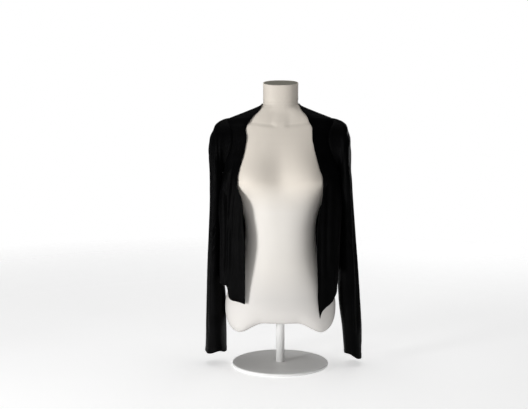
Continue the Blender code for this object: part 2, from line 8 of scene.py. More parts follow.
import bpy
import numpy as np
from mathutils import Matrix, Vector


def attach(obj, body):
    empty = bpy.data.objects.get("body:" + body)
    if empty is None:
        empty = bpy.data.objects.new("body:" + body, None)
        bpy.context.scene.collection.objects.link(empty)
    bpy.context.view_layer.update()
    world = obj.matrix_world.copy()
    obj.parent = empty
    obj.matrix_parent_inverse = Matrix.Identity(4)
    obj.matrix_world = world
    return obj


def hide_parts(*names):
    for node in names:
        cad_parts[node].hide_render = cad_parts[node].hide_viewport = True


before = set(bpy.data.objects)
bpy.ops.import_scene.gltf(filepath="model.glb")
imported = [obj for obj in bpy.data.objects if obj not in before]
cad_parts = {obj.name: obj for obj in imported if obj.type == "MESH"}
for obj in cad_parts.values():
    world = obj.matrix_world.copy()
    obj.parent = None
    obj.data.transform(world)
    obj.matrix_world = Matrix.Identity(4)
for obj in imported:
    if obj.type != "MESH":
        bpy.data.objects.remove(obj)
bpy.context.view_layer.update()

# ---------------------------------------------------------------- cloth
CLOTH_WALL = 0.0014
CLOTH_REST = 0.0009
SEAM_GAP = 0.0003
SLEEVE_LIFT = 0.0004
# Room over the form where it turns sharply, at the shoulder point and at the bust:
# height, span and room.
EASE = (
    (0.6860, 0.0120, 0.0010),
    (0.5310, 0.0220, 0.0014),
)

NECK_POINT_HEIGHT = 0.7315
SHOULDER_POINT_HEIGHT = 0.6900
UNDERARM_HEIGHT = 0.5450
ARMHOLE_FRONT_DEPTH = 0.050
ARMHOLE_BACK_DEPTH = 0.056
BACK_NECK_DROP = 0.004
BACK_NECK_FLAT = 0.25

FRONT_COLUMNS = 104
BACK_COLUMNS = 150
LOWER_ROWS = 110
LOWER_ROW_POWER = 0.80
ARMHOLE_ROWS = 44
SHOULDER_ROWS = 22
SHOULDER_ROW_POWER = 1.6
# Steps over which the lie of the cloth is felt for its slope.
SMALL_TURN = 0.004
SMALL_RISE = 0.0008

# Free front edges: distance from the middle plane on each side, by height.
FRONT_EDGE_COLUMNS = ("height", "left", "right")
FRONT_EDGE = (
    (0.150, 0.0946, 0.1046),
    (0.179, 0.0946, 0.1006),
    (0.245, 0.0945, 0.0978),
    (0.307, 0.0948, 0.0968),
    (0.364, 0.0950, 0.0964),
    (0.405, 0.0984, 0.0995),
    (0.430, 0.1000, 0.1022),
    (0.476, 0.1036, 0.1100),
    (0.500, 0.1118, 0.1121),
    (0.525, 0.1145, 0.1130),
    (0.557, 0.1096, 0.1045),
    (0.589, 0.1000, 0.0956),
    (0.621, 0.0930, 0.0883),
    (0.645, 0.0906, 0.0850),
    (0.660, 0.0932, 0.0850),
    (0.684, 0.0832, 0.0762),
    (0.6995, 0.0722, 0.0696),
    (0.7166, 0.0556, 0.0554),
    (0.7315, 0.0490, 0.0490),
)

# Hem heights across a front, from its free edge (0) to the side seam (1).
FRONT_HEM_COLUMNS = ("across", "left", "right")
FRONT_HEM = (
    (0.000, 0.1920, 0.1515),
    (0.040, 0.1926, 0.1675),
    (0.085, 0.1936, 0.1780),
    (0.153, 0.1952, 0.1870),
    (0.203, 0.1963, 0.1930),
    (0.254, 0.1978, 0.2010),
    (0.305, 0.2000, 0.2150),
    (0.339, 0.2045, 0.2260),
    (0.373, 0.2160, 0.2400),
    (0.407, 0.2345, 0.2540),
    (0.450, 0.2395, 0.2630),
    (0.550, 0.2440, 0.2690),
    (0.750, 0.2490, 0.2730),
    (1.000, 0.2510, 0.2720),
)
BACK_HEM_MIDDLE = 0.2400

# Where the cloth hangs clear of the form: half width, front and back depth, by height.
SECTION_COLUMNS = ("height", "half_width", "front", "back")
HANG = (
    (0.140, 0.1570, 0.1110, 0.1210),
    (0.200, 0.1558, 0.1110, 0.1195),
    (0.300, 0.1545, 0.1105, 0.1165),
    (0.400, 0.1548, 0.1100, 0.1150),
    (0.480, 0.1540, 0.1090, 0.1145),
    (0.530, 0.1498, 0.1065, 0.1135),
    (0.570, 0.1465, 0.0970, 0.1100),
    (0.600, 0.1450, 0.0800, 0.1010),
    (0.640, 0.1300, 0.0560, 0.0800),
    (0.690, 0.0960, 0.0390, 0.0530),
    (0.705, 0.0760, 0.0340, 0.0460),
    (0.720, 0.0520, 0.0300, 0.0400),
    (0.735, 0.0380, 0.0270, 0.0350),
    (0.800, 0.0250, 0.0250, 0.0250),
)
HANG_BLEND = 0.0050

# Long soft ridges: angle at its top and at the hem, top height, half width, rise.
# The first of each front is the roll that hangs out beside the armhole, before the sleeve.
LEFT_FRONT_FOLDS = (
    (16.0, 21.0, 0.630, 8.0, 0.0224),
    (34.0, 31.0, 0.600, 4.5, 0.0036),
    (43.0, 41.0, 0.480, 4.0, 0.0018),
)
RIGHT_FRONT_FOLDS = (
    (15.0, 26.0, 0.632, 8.0, 0.0220),
    (34.0, 36.0, 0.600, 4.0, 0.0034),
    (43.0, 44.0, 0.460, 3.5, 0.0022),
)
# On the back the angle runs from the centre back, + towards the right side.
BACK_FOLDS = (
    (-77.0, -77.0, 0.600, 6.0, 0.0060),
    (-60.0, -62.0, 0.560, 6.5, 0.0030),
    (-40.0, -43.0, 0.590, 7.5, 0.0050),
    (-17.0, -15.0, 0.570, 7.0, 0.0040),
    (11.0, 13.0, 0.600, 7.0, 0.0048),
    (37.0, 39.0, 0.580, 7.5, 0.0045),
    (60.0, 62.0, 0.550, 6.5, 0.0030),
    (77.0, 77.0, 0.600, 6.0, 0.0060),
)
FOLD_FADE = 0.190
# A ridge keeps its slant down to this share of the way to the hem.
FOLD_END = 1.2

# Sleeve cap: the outer line of the shoulder, seen from the point just under the armhole,
# as angle, reach, front depth and back depth.
CAP_PIVOT_X = 0.1556
CAP_PIVOT_HEIGHT = 0.5410
CAP_INNER_REACH = 0.0040
LEFT_CAP = (
    (87.5, 0.1465, 0.0525, 0.0575),
    (83.4, 0.1415, 0.0545, 0.0580),
    (75.8, 0.1228, 0.0565, 0.0580),
    (64.3, 0.0954, 0.0585, 0.0577),
    (50.0, 0.0652, 0.0600, 0.0572),
    (32.0, 0.0480, 0.0612, 0.0565),
    (14.0, 0.0408, 0.0622, 0.0557),
)
RIGHT_CAP = (
    (87.5, 0.1465, 0.0525, 0.0575),
    (83.4, 0.1420, 0.0545, 0.0580),
    (75.8, 0.1205, 0.0565, 0.0580),
    (64.3, 0.0830, 0.0585, 0.0577),
    (50.0, 0.0580, 0.0600, 0.0572),
    (32.0, 0.0443, 0.0612, 0.0565),
    (14.0, 0.0392, 0.0622, 0.0557),
)
# Hanging sleeve, by height: inner and outer side, middle (+ is forward), half depth.
SLEEVE_COLUMNS = ("height", "inner", "outer", "forward", "half_depth")
LEFT_SLEEVE = (
    (0.538, 0.1593, 0.1945, 0.0036, 0.0590),
    (0.495, 0.1600, 0.1942, -0.0005, 0.0560),
    (0.430, 0.1607, 0.1966, -0.0060, 0.0520),
    (0.352, 0.1608, 0.2016, -0.0105, 0.0480),
    (0.296, 0.1606, 0.2042, -0.0120, 0.0460),
    (0.245, 0.1605, 0.2072, -0.0120, 0.0452),
    (0.214, 0.1562, 0.2085, -0.0118, 0.0446),
    (0.190, 0.1556, 0.2092, -0.0115, 0.0440),
    (0.106, 0.1528, 0.2092, -0.0100, 0.0425),
    (0.036, 0.1510, 0.2105, -0.0100, 0.0415),
)
RIGHT_SLEEVE = (
    (0.538, 0.1593, 0.1950, 0.0036, 0.0590),
    (0.495, 0.1597, 0.1988, -0.0005, 0.0560),
    (0.430, 0.1605, 0.2044, -0.0060, 0.0520),
    (0.352, 0.1608, 0.2115, -0.0105, 0.0480),
    (0.296, 0.1604, 0.2160, -0.0120, 0.0460),
    (0.236, 0.1595, 0.2205, -0.0120, 0.0450),
    (0.190, 0.1618, 0.2230, -0.0115, 0.0440),
    (0.106, 0.1712, 0.2265, -0.0100, 0.0425),
    (0.0275, 0.1790, 0.2300, -0.0100, 0.0415),
)
# Rings down a hanging sleeve, and the slope of each cuff (outer side lower).
SLEEVE_RINGS = 12
LEFT_CUFF_SLOPE = 0.02
RIGHT_CUFF_SLOPE = 0.24
CUFF_SLOPE_POWER = 3
# Soft waves round a hanging sleeve, how they wind, and where they have grown to the full.
SLEEVE_WAVES = 3
SLEEVE_WAVE_RISE = 0.0016
SLEEVE_WAVE_TWIST = 3.0
SLEEVE_WAVE_GROWN = 0.4

# ---------------------------------------------------------------- dress form
FORM_POWER = 2.3
FORM = (
    (0.0968, 0.1140, 0.0720, 0.0760),
    (0.1003, 0.1285, 0.0850, 0.0890),
    (0.1075, 0.1390, 0.0925, 0.0975),
    (0.1215, 0.1466, 0.0975, 0.1035),
    (0.1450, 0.1520, 0.1010, 0.1085),
    (0.1700, 0.1545, 0.1025, 0.1110),
    (0.2050, 0.1490, 0.1010, 0.1100),
    (0.2400, 0.1350, 0.0980, 0.1050),
    (0.2750, 0.1180, 0.0935, 0.0975),
    (0.3100, 0.1055, 0.0885, 0.0880),
    (0.3440, 0.0995, 0.0850, 0.0815),
    (0.3800, 0.0980, 0.0845, 0.0805),
    (0.4150, 0.1010, 0.0860, 0.0840),
    (0.4500, 0.1110, 0.0885, 0.0910),
    (0.4800, 0.1250, 0.0910, 0.0980),
    (0.5100, 0.1390, 0.0925, 0.1040),
    (0.5400, 0.1465, 0.0925, 0.1080),
    (0.5700, 0.1495, 0.0905, 0.1105),
    (0.6000, 0.1515, 0.0865, 0.1105),
    (0.6300, 0.1525, 0.0800, 0.1080),
    (0.6550, 0.1520, 0.0725, 0.1020),
    (0.6730, 0.1500, 0.0665, 0.0950),
    (0.6830, 0.1472, 0.0635, 0.0890),
    (0.6890, 0.1420, 0.0615, 0.0850),
    (0.6960, 0.1270, 0.0595, 0.0800),
    (0.7040, 0.1065, 0.0570, 0.0740),
    (0.7120, 0.0865, 0.0545, 0.0680),
    (0.7200, 0.0670, 0.0522, 0.0620),
    (0.7270, 0.0530, 0.0502, 0.0555),
    (0.7340, 0.0490, 0.0488, 0.0505),
    (0.7460, 0.0486, 0.0483, 0.0488),
    (0.7640, 0.0482, 0.0482, 0.0482),
    (0.7896, 0.0485, 0.0485, 0.0485),
)
BUST_ANGLE = 51.0
BUST_HALF_ANGLE = 24.0
BUST_HEIGHT = 0.530
BUST_RISE = 0.033
BUST_UPPER_SPAN = 0.062
BUST_LOWER_SPAN = 0.036

LOWER_ARCH_RISE = 0.0358
LOWER_ARCH_FLAT = 0.045
LOWER_ARCH_END = 0.124
LOWER_ARCH_TOP = 0.230

NECK_TILT = 0.152
NECK_TILT_START = 0.735
NECK_TOP = 0.7896
NECK_RIM = 0.0025
NECK_RECESS = 0.0040
CAP_THICKNESS = 0.0030

# ---------------------------------------------------------------- stand
BASE_RADIUS = 0.135
BASE_THICKNESS = 0.008
BASE_EDGE = 0.003
BASE_FOOT_EDGE = 0.001
POST_RADIUS = 0.012
FLANGE_RADIUS = 0.030
FLANGE_THICKNESS = 0.005

# ---------------------------------------------------------------- finer cloth
# Turned hems, seams drawn in, small stitches, and the knit's columns and rows.
EDGE_ROUND = 0.0005
HEM_DEPTH = 0.0100
HEM_STEP = 0.0012
HEM_EXTRA = 0.00045
HEM_ROWS = (0.0058, 0.0088)
HEM_WAVE = 0.0009
HEM_WAVE_REACH = 0.022
EDGE_DEPTH = 0.0075
EDGE_STEP = 0.0010
EDGE_ROW = 0.0060
EDGE_CALM = 0.012
EDGE_CURL = 0.0006
EDGE_CURL_REACH = 0.008
SEAM_DIP = 0.00012
SEAM_RIDGE = 0.00010
SEAM_RIDGE_AT = 0.0024
SEAM_HALF = 0.0010
STITCH_PITCH = 0.0027
STITCH_LENGTH = 0.0021
STITCH_HALF = 0.00028
STITCH_RISE = 0.00020
STITCH_SUNK = 0.00020
STITCH_LIFT = 0.00004
STITCH_SIDES = 6
STITCH_RINGS = (0.25, 0.75)
# Soft unevenness: full where the cloth hangs, less where it rests, none next to a seam.
HANG_TOP = 0.600
HANG_GROWN = 0.10
CALM_REACH = 0.030
RIPPLE_RISE = 0.0010
RIPPLE_WORN = 0.25
# A wave is this share of its usual length, and up to this much more, by chance.
RIPPLE_SPREAD = (0.6, 1.2)
# Troughs use this share of the room over the form, may go this much deeper, and end softly.
ROOM_SHARE = 0.9
SLACK_KEPT = 0.0005
SLACK_BLEND = 0.0007
# Where back and sleeves lie side by side their folds turn inward: between these degrees
# on the back and these cosines round a sleeve, by this share.
BACK_BESIDE = (66.0, 80.0)
SLEEVE_BESIDE = (0.25, 0.70)
PRESSED_SHARE = 0.6
# Random seed, ripple (count of waves, their width and height), and the length of the waves
# in the hem over 2 pi.
BACK_LOOK = (11, (11, 0.050, 0.36), 0.0125)
LEFT_LOOK = (23, (9, 0.042, 0.34), 0.0105)
RIGHT_LOOK = (37, (9, 0.042, 0.34), 0.0105)
LEFT_ARM_SEED = 41
RIGHT_ARM_SEED = 59
SECOND_SEED = 50
SLEEVE_ROWS = 236
SLEEVE_RADIUS = 0.030
SLEEVE_RIPPLE = (8, 0.050, 0.30)
SLEEVE_RIPPLE_SHARE = 0.7
SLEEVE_CALM = (0.004, 0.040)
SLEEVE_BLEND = 0.006
CUFF_FLARES = 7.0
# Unevenness of each cuff's edge: rise, degrees round the cuff, half width in degrees.
CUFF_SHAPE_REACH = 0.045
LEFT_CUFF_SHAPE = ((0.0078, 72.0, 30.0), (-0.0022, 146.0, 26.0), (0.0030, 300.0, 40.0))
RIGHT_CUFF_SHAPE = ((0.0060, 62.0, 34.0), (-0.0030, 128.0, 30.0), (-0.0025, 236.0, 40.0))

# Ridges (+) and troughs (-), with all lengths here in millimetres: rise, half
# width in degrees, fade at the top and at the bottom, then the line that each follows as
# (height, degrees from the side).
MILLIMETRES = 1000.0
LEFT_CREASES = (
    (1.3, 1.1, 30, 40, ((668, 33), (640, 36.5), (590, 41), (550, 43))),
    (-1.2, 1.2, 30, 40, ((664, 29), (636, 32), (590, 36.6), (550, 39.5))),
    (1.1, 1.1, 40, 40, ((560, 47.5), (500, 44.5), (420, 40.5), (330, 37.5))),
    (1.2, 1, 40, 40, ((500, 33.2), (430, 31.8), (340, 31.2), (230, 30.6))),
    (3.2, 1.6, 50, 40, ((560, 34), (536, 32.4), (503, 29.8), (470, 28.6), (386, 27.8), (286, 27.3),
        (225, 27))),
    (-2, 1.6, 50, 50, ((575, 29.5), (520, 25.8), (450, 25.4), (350, 25.6), (240, 25.2))),
    (2, 1.2, 60, 60, ((560, 20), (519, 19.5), (476, 21.8), (403, 23.4), (303, 23.6), (240, 23.2))),
    (-2.2, 1.2, 60, 60, ((530, 16), (470, 18.6), (400, 20.2), (300, 20.8), (235, 20.6))),
    (1.9, 1.4, 40, 60, ((655, 11), (635, 12.7), (585, 18.1), (536, 23))),
    (-1.8, 1.5, 30, 50, ((655, 18), (638, 20), (595, 24.5), (560, 27.5))),
    (1.8, 1.7, 30, 50, ((630, 24), (608, 27.4), (576, 31.1), (540, 34.5))),
    (-1.5, 2.7, 80, 60, ((520, 39), (430, 35.5), (330, 34), (230, 33.5))),
    (1.3, 2.3, 80, 50, ((470, 47), (380, 42), (300, 40), (210, 39))),
)
RIGHT_CREASES = (
    (4, 6.5, 30, 35, ((590, 8), (545, 10.5), (490, 13))),
    (2.3, 2, 50, 60, ((620, 19), (600, 20.3), (550, 25.8), (500, 27.1), (450, 28.8), (400, 29.6),
        (350, 30.3), (260, 31.1))),
    (-1.8, 2, 60, 60, ((590, 15), (520, 21.5), (440, 24.5), (350, 26.4), (265, 27))),
    (1.7, 1.8, 60, 60, ((600, 29.6), (550, 35), (500, 35.3), (450, 36.1), (350, 36.6), (235, 37.5))),
    (-1.1, 2.1, 60, 60, ((560, 31), (490, 31.5), (400, 33), (300, 33.8), (240, 34.2))),
    (1.4, 1.6, 60, 60, ((520, 14.5), (440, 18), (360, 20.5), (280, 22))),
    (-1.4, 2.3, 50, 50, ((500, 46), (420, 41.5), (320, 40.5), (200, 41.5))),
    (1.4, 2, 40, 40, ((330, 45), (270, 44), (190, 45))),
)
# On the back the degrees run from the centre back, + towards the right side.
BACK_CREASES = (
    (2.2, 2.5, 60, 60, ((610, -66), (540, -60), (430, -53), (260, -50))),
    (-2, 2.4, 60, 60, ((590, -55), (500, -50), (380, -47), (260, -45))),
    (2, 2.7, 70, 60, ((600, -34), (500, -31), (380, -30), (250, -31))),
    (-1.8, 2.9, 70, 60, ((570, -24), (460, -25), (340, -24), (250, -23))),
    (1.6, 2.5, 60, 60, ((580, -4), (480, -2), (350, -3), (245, -5))),
    (-1.6, 2.5, 60, 60, ((560, 6), (450, 4), (330, 5), (245, 6))),
    (2.1, 2.7, 60, 60, ((605, 27), (500, 24), (380, 22), (250, 24))),
    (-1.9, 2.2, 60, 60, ((590, 36), (490, 31), (370, 30), (255, 31))),
    (2.2, 2.5, 60, 60, ((610, 62), (540, 55), (420, 49), (270, 51))),
    (-1.9, 2.4, 60, 60, ((590, 68), (500, 62), (390, 58), (270, 58))),
    (0.9, 3.4, 30, 30, ((560, 80), (530, 66), (505, 48))),
    (0.9, 3.4, 30, 30, ((565, -80), (535, -64), (510, -46))),
)
# Round a sleeve the degrees run from the side next to the body: 90 front, 180 outer, 270 back.
LEFT_ARM_CREASES = (
    (1.7, 3.4, 20, 30, ((664, 142), (640, 120), (620, 104), (600, 90), (570, 77), (530, 79))),
    (1.7, 3.2, 20, 30, ((664, 131), (640, 110), (620, 94), (600, 78), (580, 62), (560, 49))),
    (-1.5, 3, 20, 30, ((662, 136), (640, 115), (620, 99), (600, 84), (580, 70), (560, 62))),
    (-1.4, 3.4, 20, 30, ((655, 146), (620, 115), (590, 100), (560, 101), (520, 104))),
    (2.2, 7.2, 60, 50, ((620, 118), (520, 112), (400, 108), (300, 112), (180, 120), (80, 118))),
    (-2, 6.4, 60, 50, ((600, 136), (480, 131), (360, 128), (240, 134), (120, 138))),
    (2, 6.4, 60, 40, ((640, 160), (540, 156), (420, 152), (300, 156), (180, 158), (60, 156))),
    (-1.8, 6.4, 60, 50, ((580, 178), (440, 174), (300, 172), (160, 176))),
    (1.9, 7.2, 60, 50, ((620, 206), (480, 200), (340, 196), (200, 202), (80, 204))),
    (-2, 6.4, 60, 50, ((600, 232), (460, 224), (320, 226), (160, 232))),
    (2.2, 7.2, 60, 50, ((620, 256), (500, 250), (360, 246), (220, 252), (80, 258))),
    (2, 5.6, 30, 30, ((420, 84), (385, 112), (362, 150))),
    (-2, 5.6, 30, 30, ((400, 80), (362, 110), (340, 146))),
    (1.8, 5.6, 30, 30, ((360, 78), (325, 104), (305, 132))),
    (1.9, 5.6, 30, 30, ((410, 280), (380, 252), (360, 216))),
    (-1.9, 5.6, 30, 30, ((380, 282), (350, 254), (332, 222))),
)
RIGHT_ARM_CREASES = (
    (1.3, 3.4, 20, 30, ((660, 136), (635, 114), (610, 96), (580, 80), (540, 78))),
    (-1.2, 3.2, 20, 30, ((660, 128), (635, 106), (610, 89), (580, 68), (560, 58))),
    (2, 7.2, 60, 50, ((620, 122), (520, 116), (400, 114), (280, 118), (160, 112), (70, 110))),
    (-1.9, 6.4, 60, 50, ((600, 142), (480, 136), (340, 138), (200, 134), (80, 130))),
    (1.8, 6.4, 60, 40, ((640, 164), (520, 160), (380, 158), (240, 154), (80, 150))),
    (-1.7, 6.4, 60, 50, ((580, 184), (430, 178), (280, 176), (140, 174))),
    (1.9, 7.2, 60, 50, ((620, 210), (470, 206), (330, 202), (180, 198), (70, 200))),
    (-1.9, 6.4, 60, 50, ((600, 236), (450, 230), (300, 228), (150, 226))),
    (2, 7.2, 60, 50, ((620, 260), (480, 254), (340, 252), (200, 248), (80, 252))),
    (1.8, 5.6, 30, 30, ((400, 82), (370, 110), (350, 144))),
    (-1.8, 5.6, 30, 30, ((375, 80), (345, 108), (322, 140))),
    (1.9, 5.6, 30, 30, ((420, 282), (388, 256), (366, 220))),
    (-1.7, 5.6, 30, 30, ((392, 284), (360, 256), (340, 224))),
    (1.2, 8, 30, 20, ((140, 168), (100, 166), (50, 164))),
)

# Flat size of each cut piece (width, length) in metres, and its flat area.
BACK_CUT = ((0.456, 0.504), 0.207)
LEFT_CUT = ((0.141, 0.590), 0.058)
RIGHT_CUT = ((0.137, 0.627), 0.057)
LEFT_ARM_CUT = ((0.258, 0.682), 0.146)
RIGHT_ARM_CUT = ((0.258, 0.696), 0.151)

FRONTS = (
    ("knit_front_left", "cardigan_front_left", LEFT_CUT, -1.0, "left", LEFT_FRONT_FOLDS,
     LEFT_CREASES, LEFT_LOOK),
    ("knit_front_right", "cardigan_front_right", RIGHT_CUT, 1.0, "right", RIGHT_FRONT_FOLDS,
     RIGHT_CREASES, RIGHT_LOOK),
)
SLEEVES = (
    ("knit_sleeve_left", "cardigan_sleeve_left", LEFT_ARM_CUT, -1.0, LEFT_CAP, LEFT_SLEEVE,
     LEFT_CUFF_SLOPE, LEFT_CUFF_SHAPE, LEFT_ARM_CREASES, LEFT_ARM_SEED),
    ("knit_sleeve_right", "cardigan_sleeve_right", RIGHT_ARM_CUT, 1.0, RIGHT_CAP, RIGHT_SLEEVE,
     RIGHT_CUFF_SLOPE, RIGHT_CUFF_SHAPE, RIGHT_ARM_CREASES, RIGHT_ARM_SEED),
)

# ---------------------------------------------------------------- finer form and stand
FORM_ROUND = 144
TURN_ROUND = 96
# The form's own curves are evened out over this height, and its cleft over this turn.
FORM_EVEN = 0.016
FORM_EVEN_TOP = 0.630
FORM_EVEN_FADE = 0.020
EVEN_WEIGHTS = ((-1.0, 0.08), (-0.66, 0.14), (-0.33, 0.18), (0.0, 0.20), (0.33, 0.18), (0.66, 0.14),
                (1.0, 0.08))
CLEFT_TURN = 9.0
THROAT_HEIGHT = 0.7060
THROAT_HALF = 0.0200
THROAT_DEPTH = 0.0040
THROAT_TURN = (38.0, 74.0)
# Collarbones: line from low to high, how it starts and ends, and how each hollow falls off.
COLLAR_LOW = 0.6660
COLLAR_HIGH = 0.6760
COLLAR_START = 0.018
COLLAR_LEAD = 0.012
COLLAR_GROWN = 0.010
COLLAR_REACH = 0.085
COLLAR_END = 0.75
COLLAR_HALF = 0.0120
COLLAR_CREST = 0.9
COLLAR_FALL = 1.8
COLLAR_DEPTH = 0.0062
# Rounding of the lower edge: where it starts, how far in it ends, and its fullness.
FORM_ROUND_TOP = 0.1700
FORM_ROUND_INNER = 0.70
FORM_ROUND_SHAPE = 0.84
UNDERSIDE_RINGS = 9
UNDERSIDE_REACH = (0.06, 0.97)
ROUND_RINGS = 40
# Rings up the body: height where each band starts, and its count.
FORM_BANDS = ((FORM_ROUND_TOP + 0.002, 150), (0.6400, 70), (0.7000, 34), (0.7400, 18))
# Neck's lip: drop below its top and scale. Its hollow: drop, and scale more than the rim's.
NECK_LIP = ((0.0016, 1.0), (0.0007, 0.9965), (0.0002, 0.990), (0.0, 0.980))
NECK_HOLLOW = ((0.0, 0.012), (0.0003, 0.003), (0.0010, 0.0), (0.0020, 0.0),
               (NECK_RECESS - 0.0001, 0.0), (NECK_RECESS, -0.01))
CAP_FOOT = 0.0006
CAP_EDGE = 0.0009
CAP_SOFT = 0.0003
CAP_DOME = 0.0004
CAP_SHARES = np.linspace(0.96, 0.05, 14)
BASE_SHARES = (0.94, 0.8, 0.5, 0.2, 0.05)
FLANGE_SHARES = (0.6, 0.1)
POST_FILLET = 0.004
FLANGE_EDGE = 0.0015

# ---------------------------------------------------------------- colours
WHITE = (1.0, 1.0, 1.0, 1.0)
# Span of a noise that gives soft clouds.
CLOUDS = (0.3, 0.7)
KNIT_WALE = 0.00095
KNIT_COURSE = 0.00075
KNIT_SLANT = 1.6
# How full a stitch's loop is, how steeply the groove beside it falls, and the painted shade in the
# grooves between loops: its ramp and how dark it gets.
KNIT_LOOP = (0.6, 0.4)
KNIT_STEEP = 4.0
KNIT_PAINTED_SHADE_RAMP = (0.35, 0.78)
KNIT_GROOVE_PAINTED_SHADE = 0.55
KNIT_FUZZ = 0.5
KNIT_DARK = (0.0011, 0.0011, 0.0012)
KNIT_LIGHT = (0.0021, 0.0021, 0.0023)
KNIT_SPECULAR = 0.022
KNIT_ROUGH = (0.34, 0.44)
KNIT_SHEEN = 0.004
# Painted shade in the form's colour: darker over the chest, coming in over the first span of heights, and
# darker towards the bottom, over the second.
CHEST_PAINTED_SHADE = (0.920, 0.885, 0.840)
CHEST_PAINTED_SHADE_SPAN = (0.440, 0.520)
HIP_PAINTED_SHADE = (0.860, 0.868, 0.890)
HIP_PAINTED_SHADE_SPAN = (0.205, 0.290)
FORM_TINTS = ((0.800, 0.765, 0.715), (0.825, 0.792, 0.745), (0.770, 0.730, 0.675))
CAP_TINTS = ((0.225, 0.216, 0.175), (0.255, 0.245, 0.200))
STAND_TINTS = ((0.800, 0.798, 0.788), (0.835, 0.833, 0.825))
FLOOR_TINTS = ((0.93, 0.93, 0.93), (0.95, 0.95, 0.95))

# ---------------------------------------------------------------- studio
CAMERA_PLACE = (0.0, -2.8, 0.76)
CAMERA_AIM = (-0.04587, 0.0, 0.4534)
CAMERA_LENS = 69.09
FLOOR_LEVEL = -0.0004
FLOOR_FADE = (0.9, 2.6)
FLOOR_REACHES = (0.5, 1.2, 2.2, FLOOR_FADE[1] + 0.1)
FLOOR_GLOW = 0.44
AMBIENT_BELOW = 0.20
AMBIENT_ABOVE = 0.12
AMBIENT_SHINE = 0.35
LIGHTS = (
    ("key", (-1.95, -1.62, 0.32), (0.0, 0.0, 0.42), 0.60, 0.6, 41.0),
    ("fill", (0.3, -2.7, 0.50), (0.0, 0.0, 0.45), 1.2, 0.8, 9.0),
    ("top", (0.0, 0.3, 2.6), (0.0, 0.1, 0.0), 1.8, 1.8, 20.0),
    ("back", (0.9, 2.6, 0.8), (0.0, 0.0, 0.42), 1.2, 0.9, 8.0),
)

# Least length to divide by, angles taken as the same, and the level part of a direction.
TINY = 1e-12
SAME_ANGLE = 1e-9
FLAT = np.array([1.0, 1.0, 0.0])
QUARTER_TURN = np.radians(np.linspace(0.0, 89.0, 357))
ARMHOLE_MIDDLE = 0.5 * (SHOULDER_POINT_HEIGHT + UNDERARM_HEIGHT)


# ---------------------------------------------------------------- curves
def smoothstep(x, low, high):
    t = np.clip((x - low) / (high - low), 0.0, 1.0)
    return t * t * (3.0 - 2.0 * t)


def bell(x):
    """Smooth bump: 1 in the middle, next to nothing beyond 2."""
    return np.exp(-x ** 2)


def soft_maximum(first, second, blend):
    """The larger of two values, with a rounded passage from one to the other."""
    apart = first - second
    return 0.5 * (first + second + np.sqrt(apart * apart + blend * blend))


def circle(count):
    return 2.0 * np.pi * np.arange(count) / count


def smooth_curve(at, value, level_turns=False):
    """A smooth curve through values at given places, level where they turn if asked."""
    pad = (...,) + (None,) * (value.ndim - 1)
    step = np.diff(at)
    wide = step[pad]
    slope = np.diff(value, axis=0) / wide
    tangent = np.concatenate([slope[:1], slope])
    tangent[1:-1] = (slope[:-1] * wide[1:] + slope[1:] * wide[:-1]) / (wide[:-1] + wide[1:])
    if level_turns:
        tangent[1:-1][slope[:-1] * slope[1:] <= 0.0] = 0.0

    def curve(x):
        x = np.clip(x, at[0], at[-1])
        i = np.clip(np.searchsorted(at, x) - 1, 0, len(step) - 1)
        t = ((x - at[i]) / step[i])[pad]
        start = value[i] + tangent[i] * wide[i] * t
        end = value[i + 1] - tangent[i + 1] * wide[i] * (1.0 - t)
        ease = smoothstep(t, 0.0, 1.0)
        return start * (1.0 - ease) + end * ease

    return curve


def column_curve(rows, names, column):
    """A smooth curve through one named column of a table, by its first column."""
    table = np.array(sorted(rows), dtype=float)
    return smooth_curve(table[:, 0], table[:, names.index(column)], level_turns=True)


FORM_CURVES = [column_curve(FORM, SECTION_COLUMNS, name) for name in SECTION_COLUMNS[1:]]
HANG_CURVES = [column_curve(HANG, SECTION_COLUMNS, name) for name in SECTION_COLUMNS[1:]]


# ---------------------------------------------------------------- lie of the cloth
def section_radius(angle, half_width, front, back):
    """Reach of a rounded section at an angle counted forward from the side line."""
    depth = np.where(angle >= 0.0, front, back)
    across = (np.abs(np.cos(angle)) / half_width) ** FORM_POWER
    deep = (np.abs(np.sin(angle)) / depth) ** FORM_POWER
    return (across + deep) ** (-1.0 / FORM_POWER)


def bust(angle, z):
    """Rise of the bust over the plain section."""
    span = np.where(z > BUST_HEIGHT, BUST_UPPER_SPAN, BUST_LOWER_SPAN)
    turn = (angle - math.radians(BUST_ANGLE)) / math.radians(BUST_HALF_ANGLE)
    return BUST_RISE * bell((z - BUST_HEIGHT) / span) * bell(turn)


def form_radius(angle, z):
    return section_radius(angle, *(curve(z) for curve in FORM_CURVES)) + bust(angle, z)


def folds(angle, z, hem, ridges):
    """Sum of the long soft ridges at an angle in degrees."""
    total = np.zeros_like(angle + z)
    for top_angle, hem_angle, top_height, half_angle, rise in ridges:
        down = np.clip((top_height - z) / (top_height - hem), 0.0, FOLD_END)
        middle = top_angle + (hem_angle - top_angle) * down
        grow = smoothstep(top_height - z, 0.0, FOLD_FADE)
        total = total + rise * grow * bell((angle - middle) / half_angle)
    return total


def cloth_radius(angle, z):
    """Reach of the cloth: on the form where it rests, straight down where it hangs."""
    hang = section_radius(angle, *(curve(z) for curve in HANG_CURVES))
    laid = soft_maximum(form_radius(angle, z), hang, HANG_BLEND)
    for height, span, room in EASE:
        laid = laid + room * bell((z - height) / span)
    return laid


def front_surface(side, ridges, hem):
    """The lie of one front, as a function of angle and height."""

    def surface(angle, z):
        reach = cloth_radius(angle, z) + folds(np.degrees(angle), z, hem, ridges)
        return np.stack([side * reach * np.cos(angle), -reach * np.sin(angle), z], axis=-1)

    return surface


def back_surface(angle, z):
    """The lie of the back, its angle counted from the centre back."""
    reach = cloth_radius(np.abs(angle) - 0.5 * np.pi, z)
    reach = reach + folds(np.degrees(angle), z, BACK_HEM_MIDDLE, BACK_FOLDS)
    return np.stack([reach * np.sin(angle), reach * np.cos(angle), z], axis=-1)


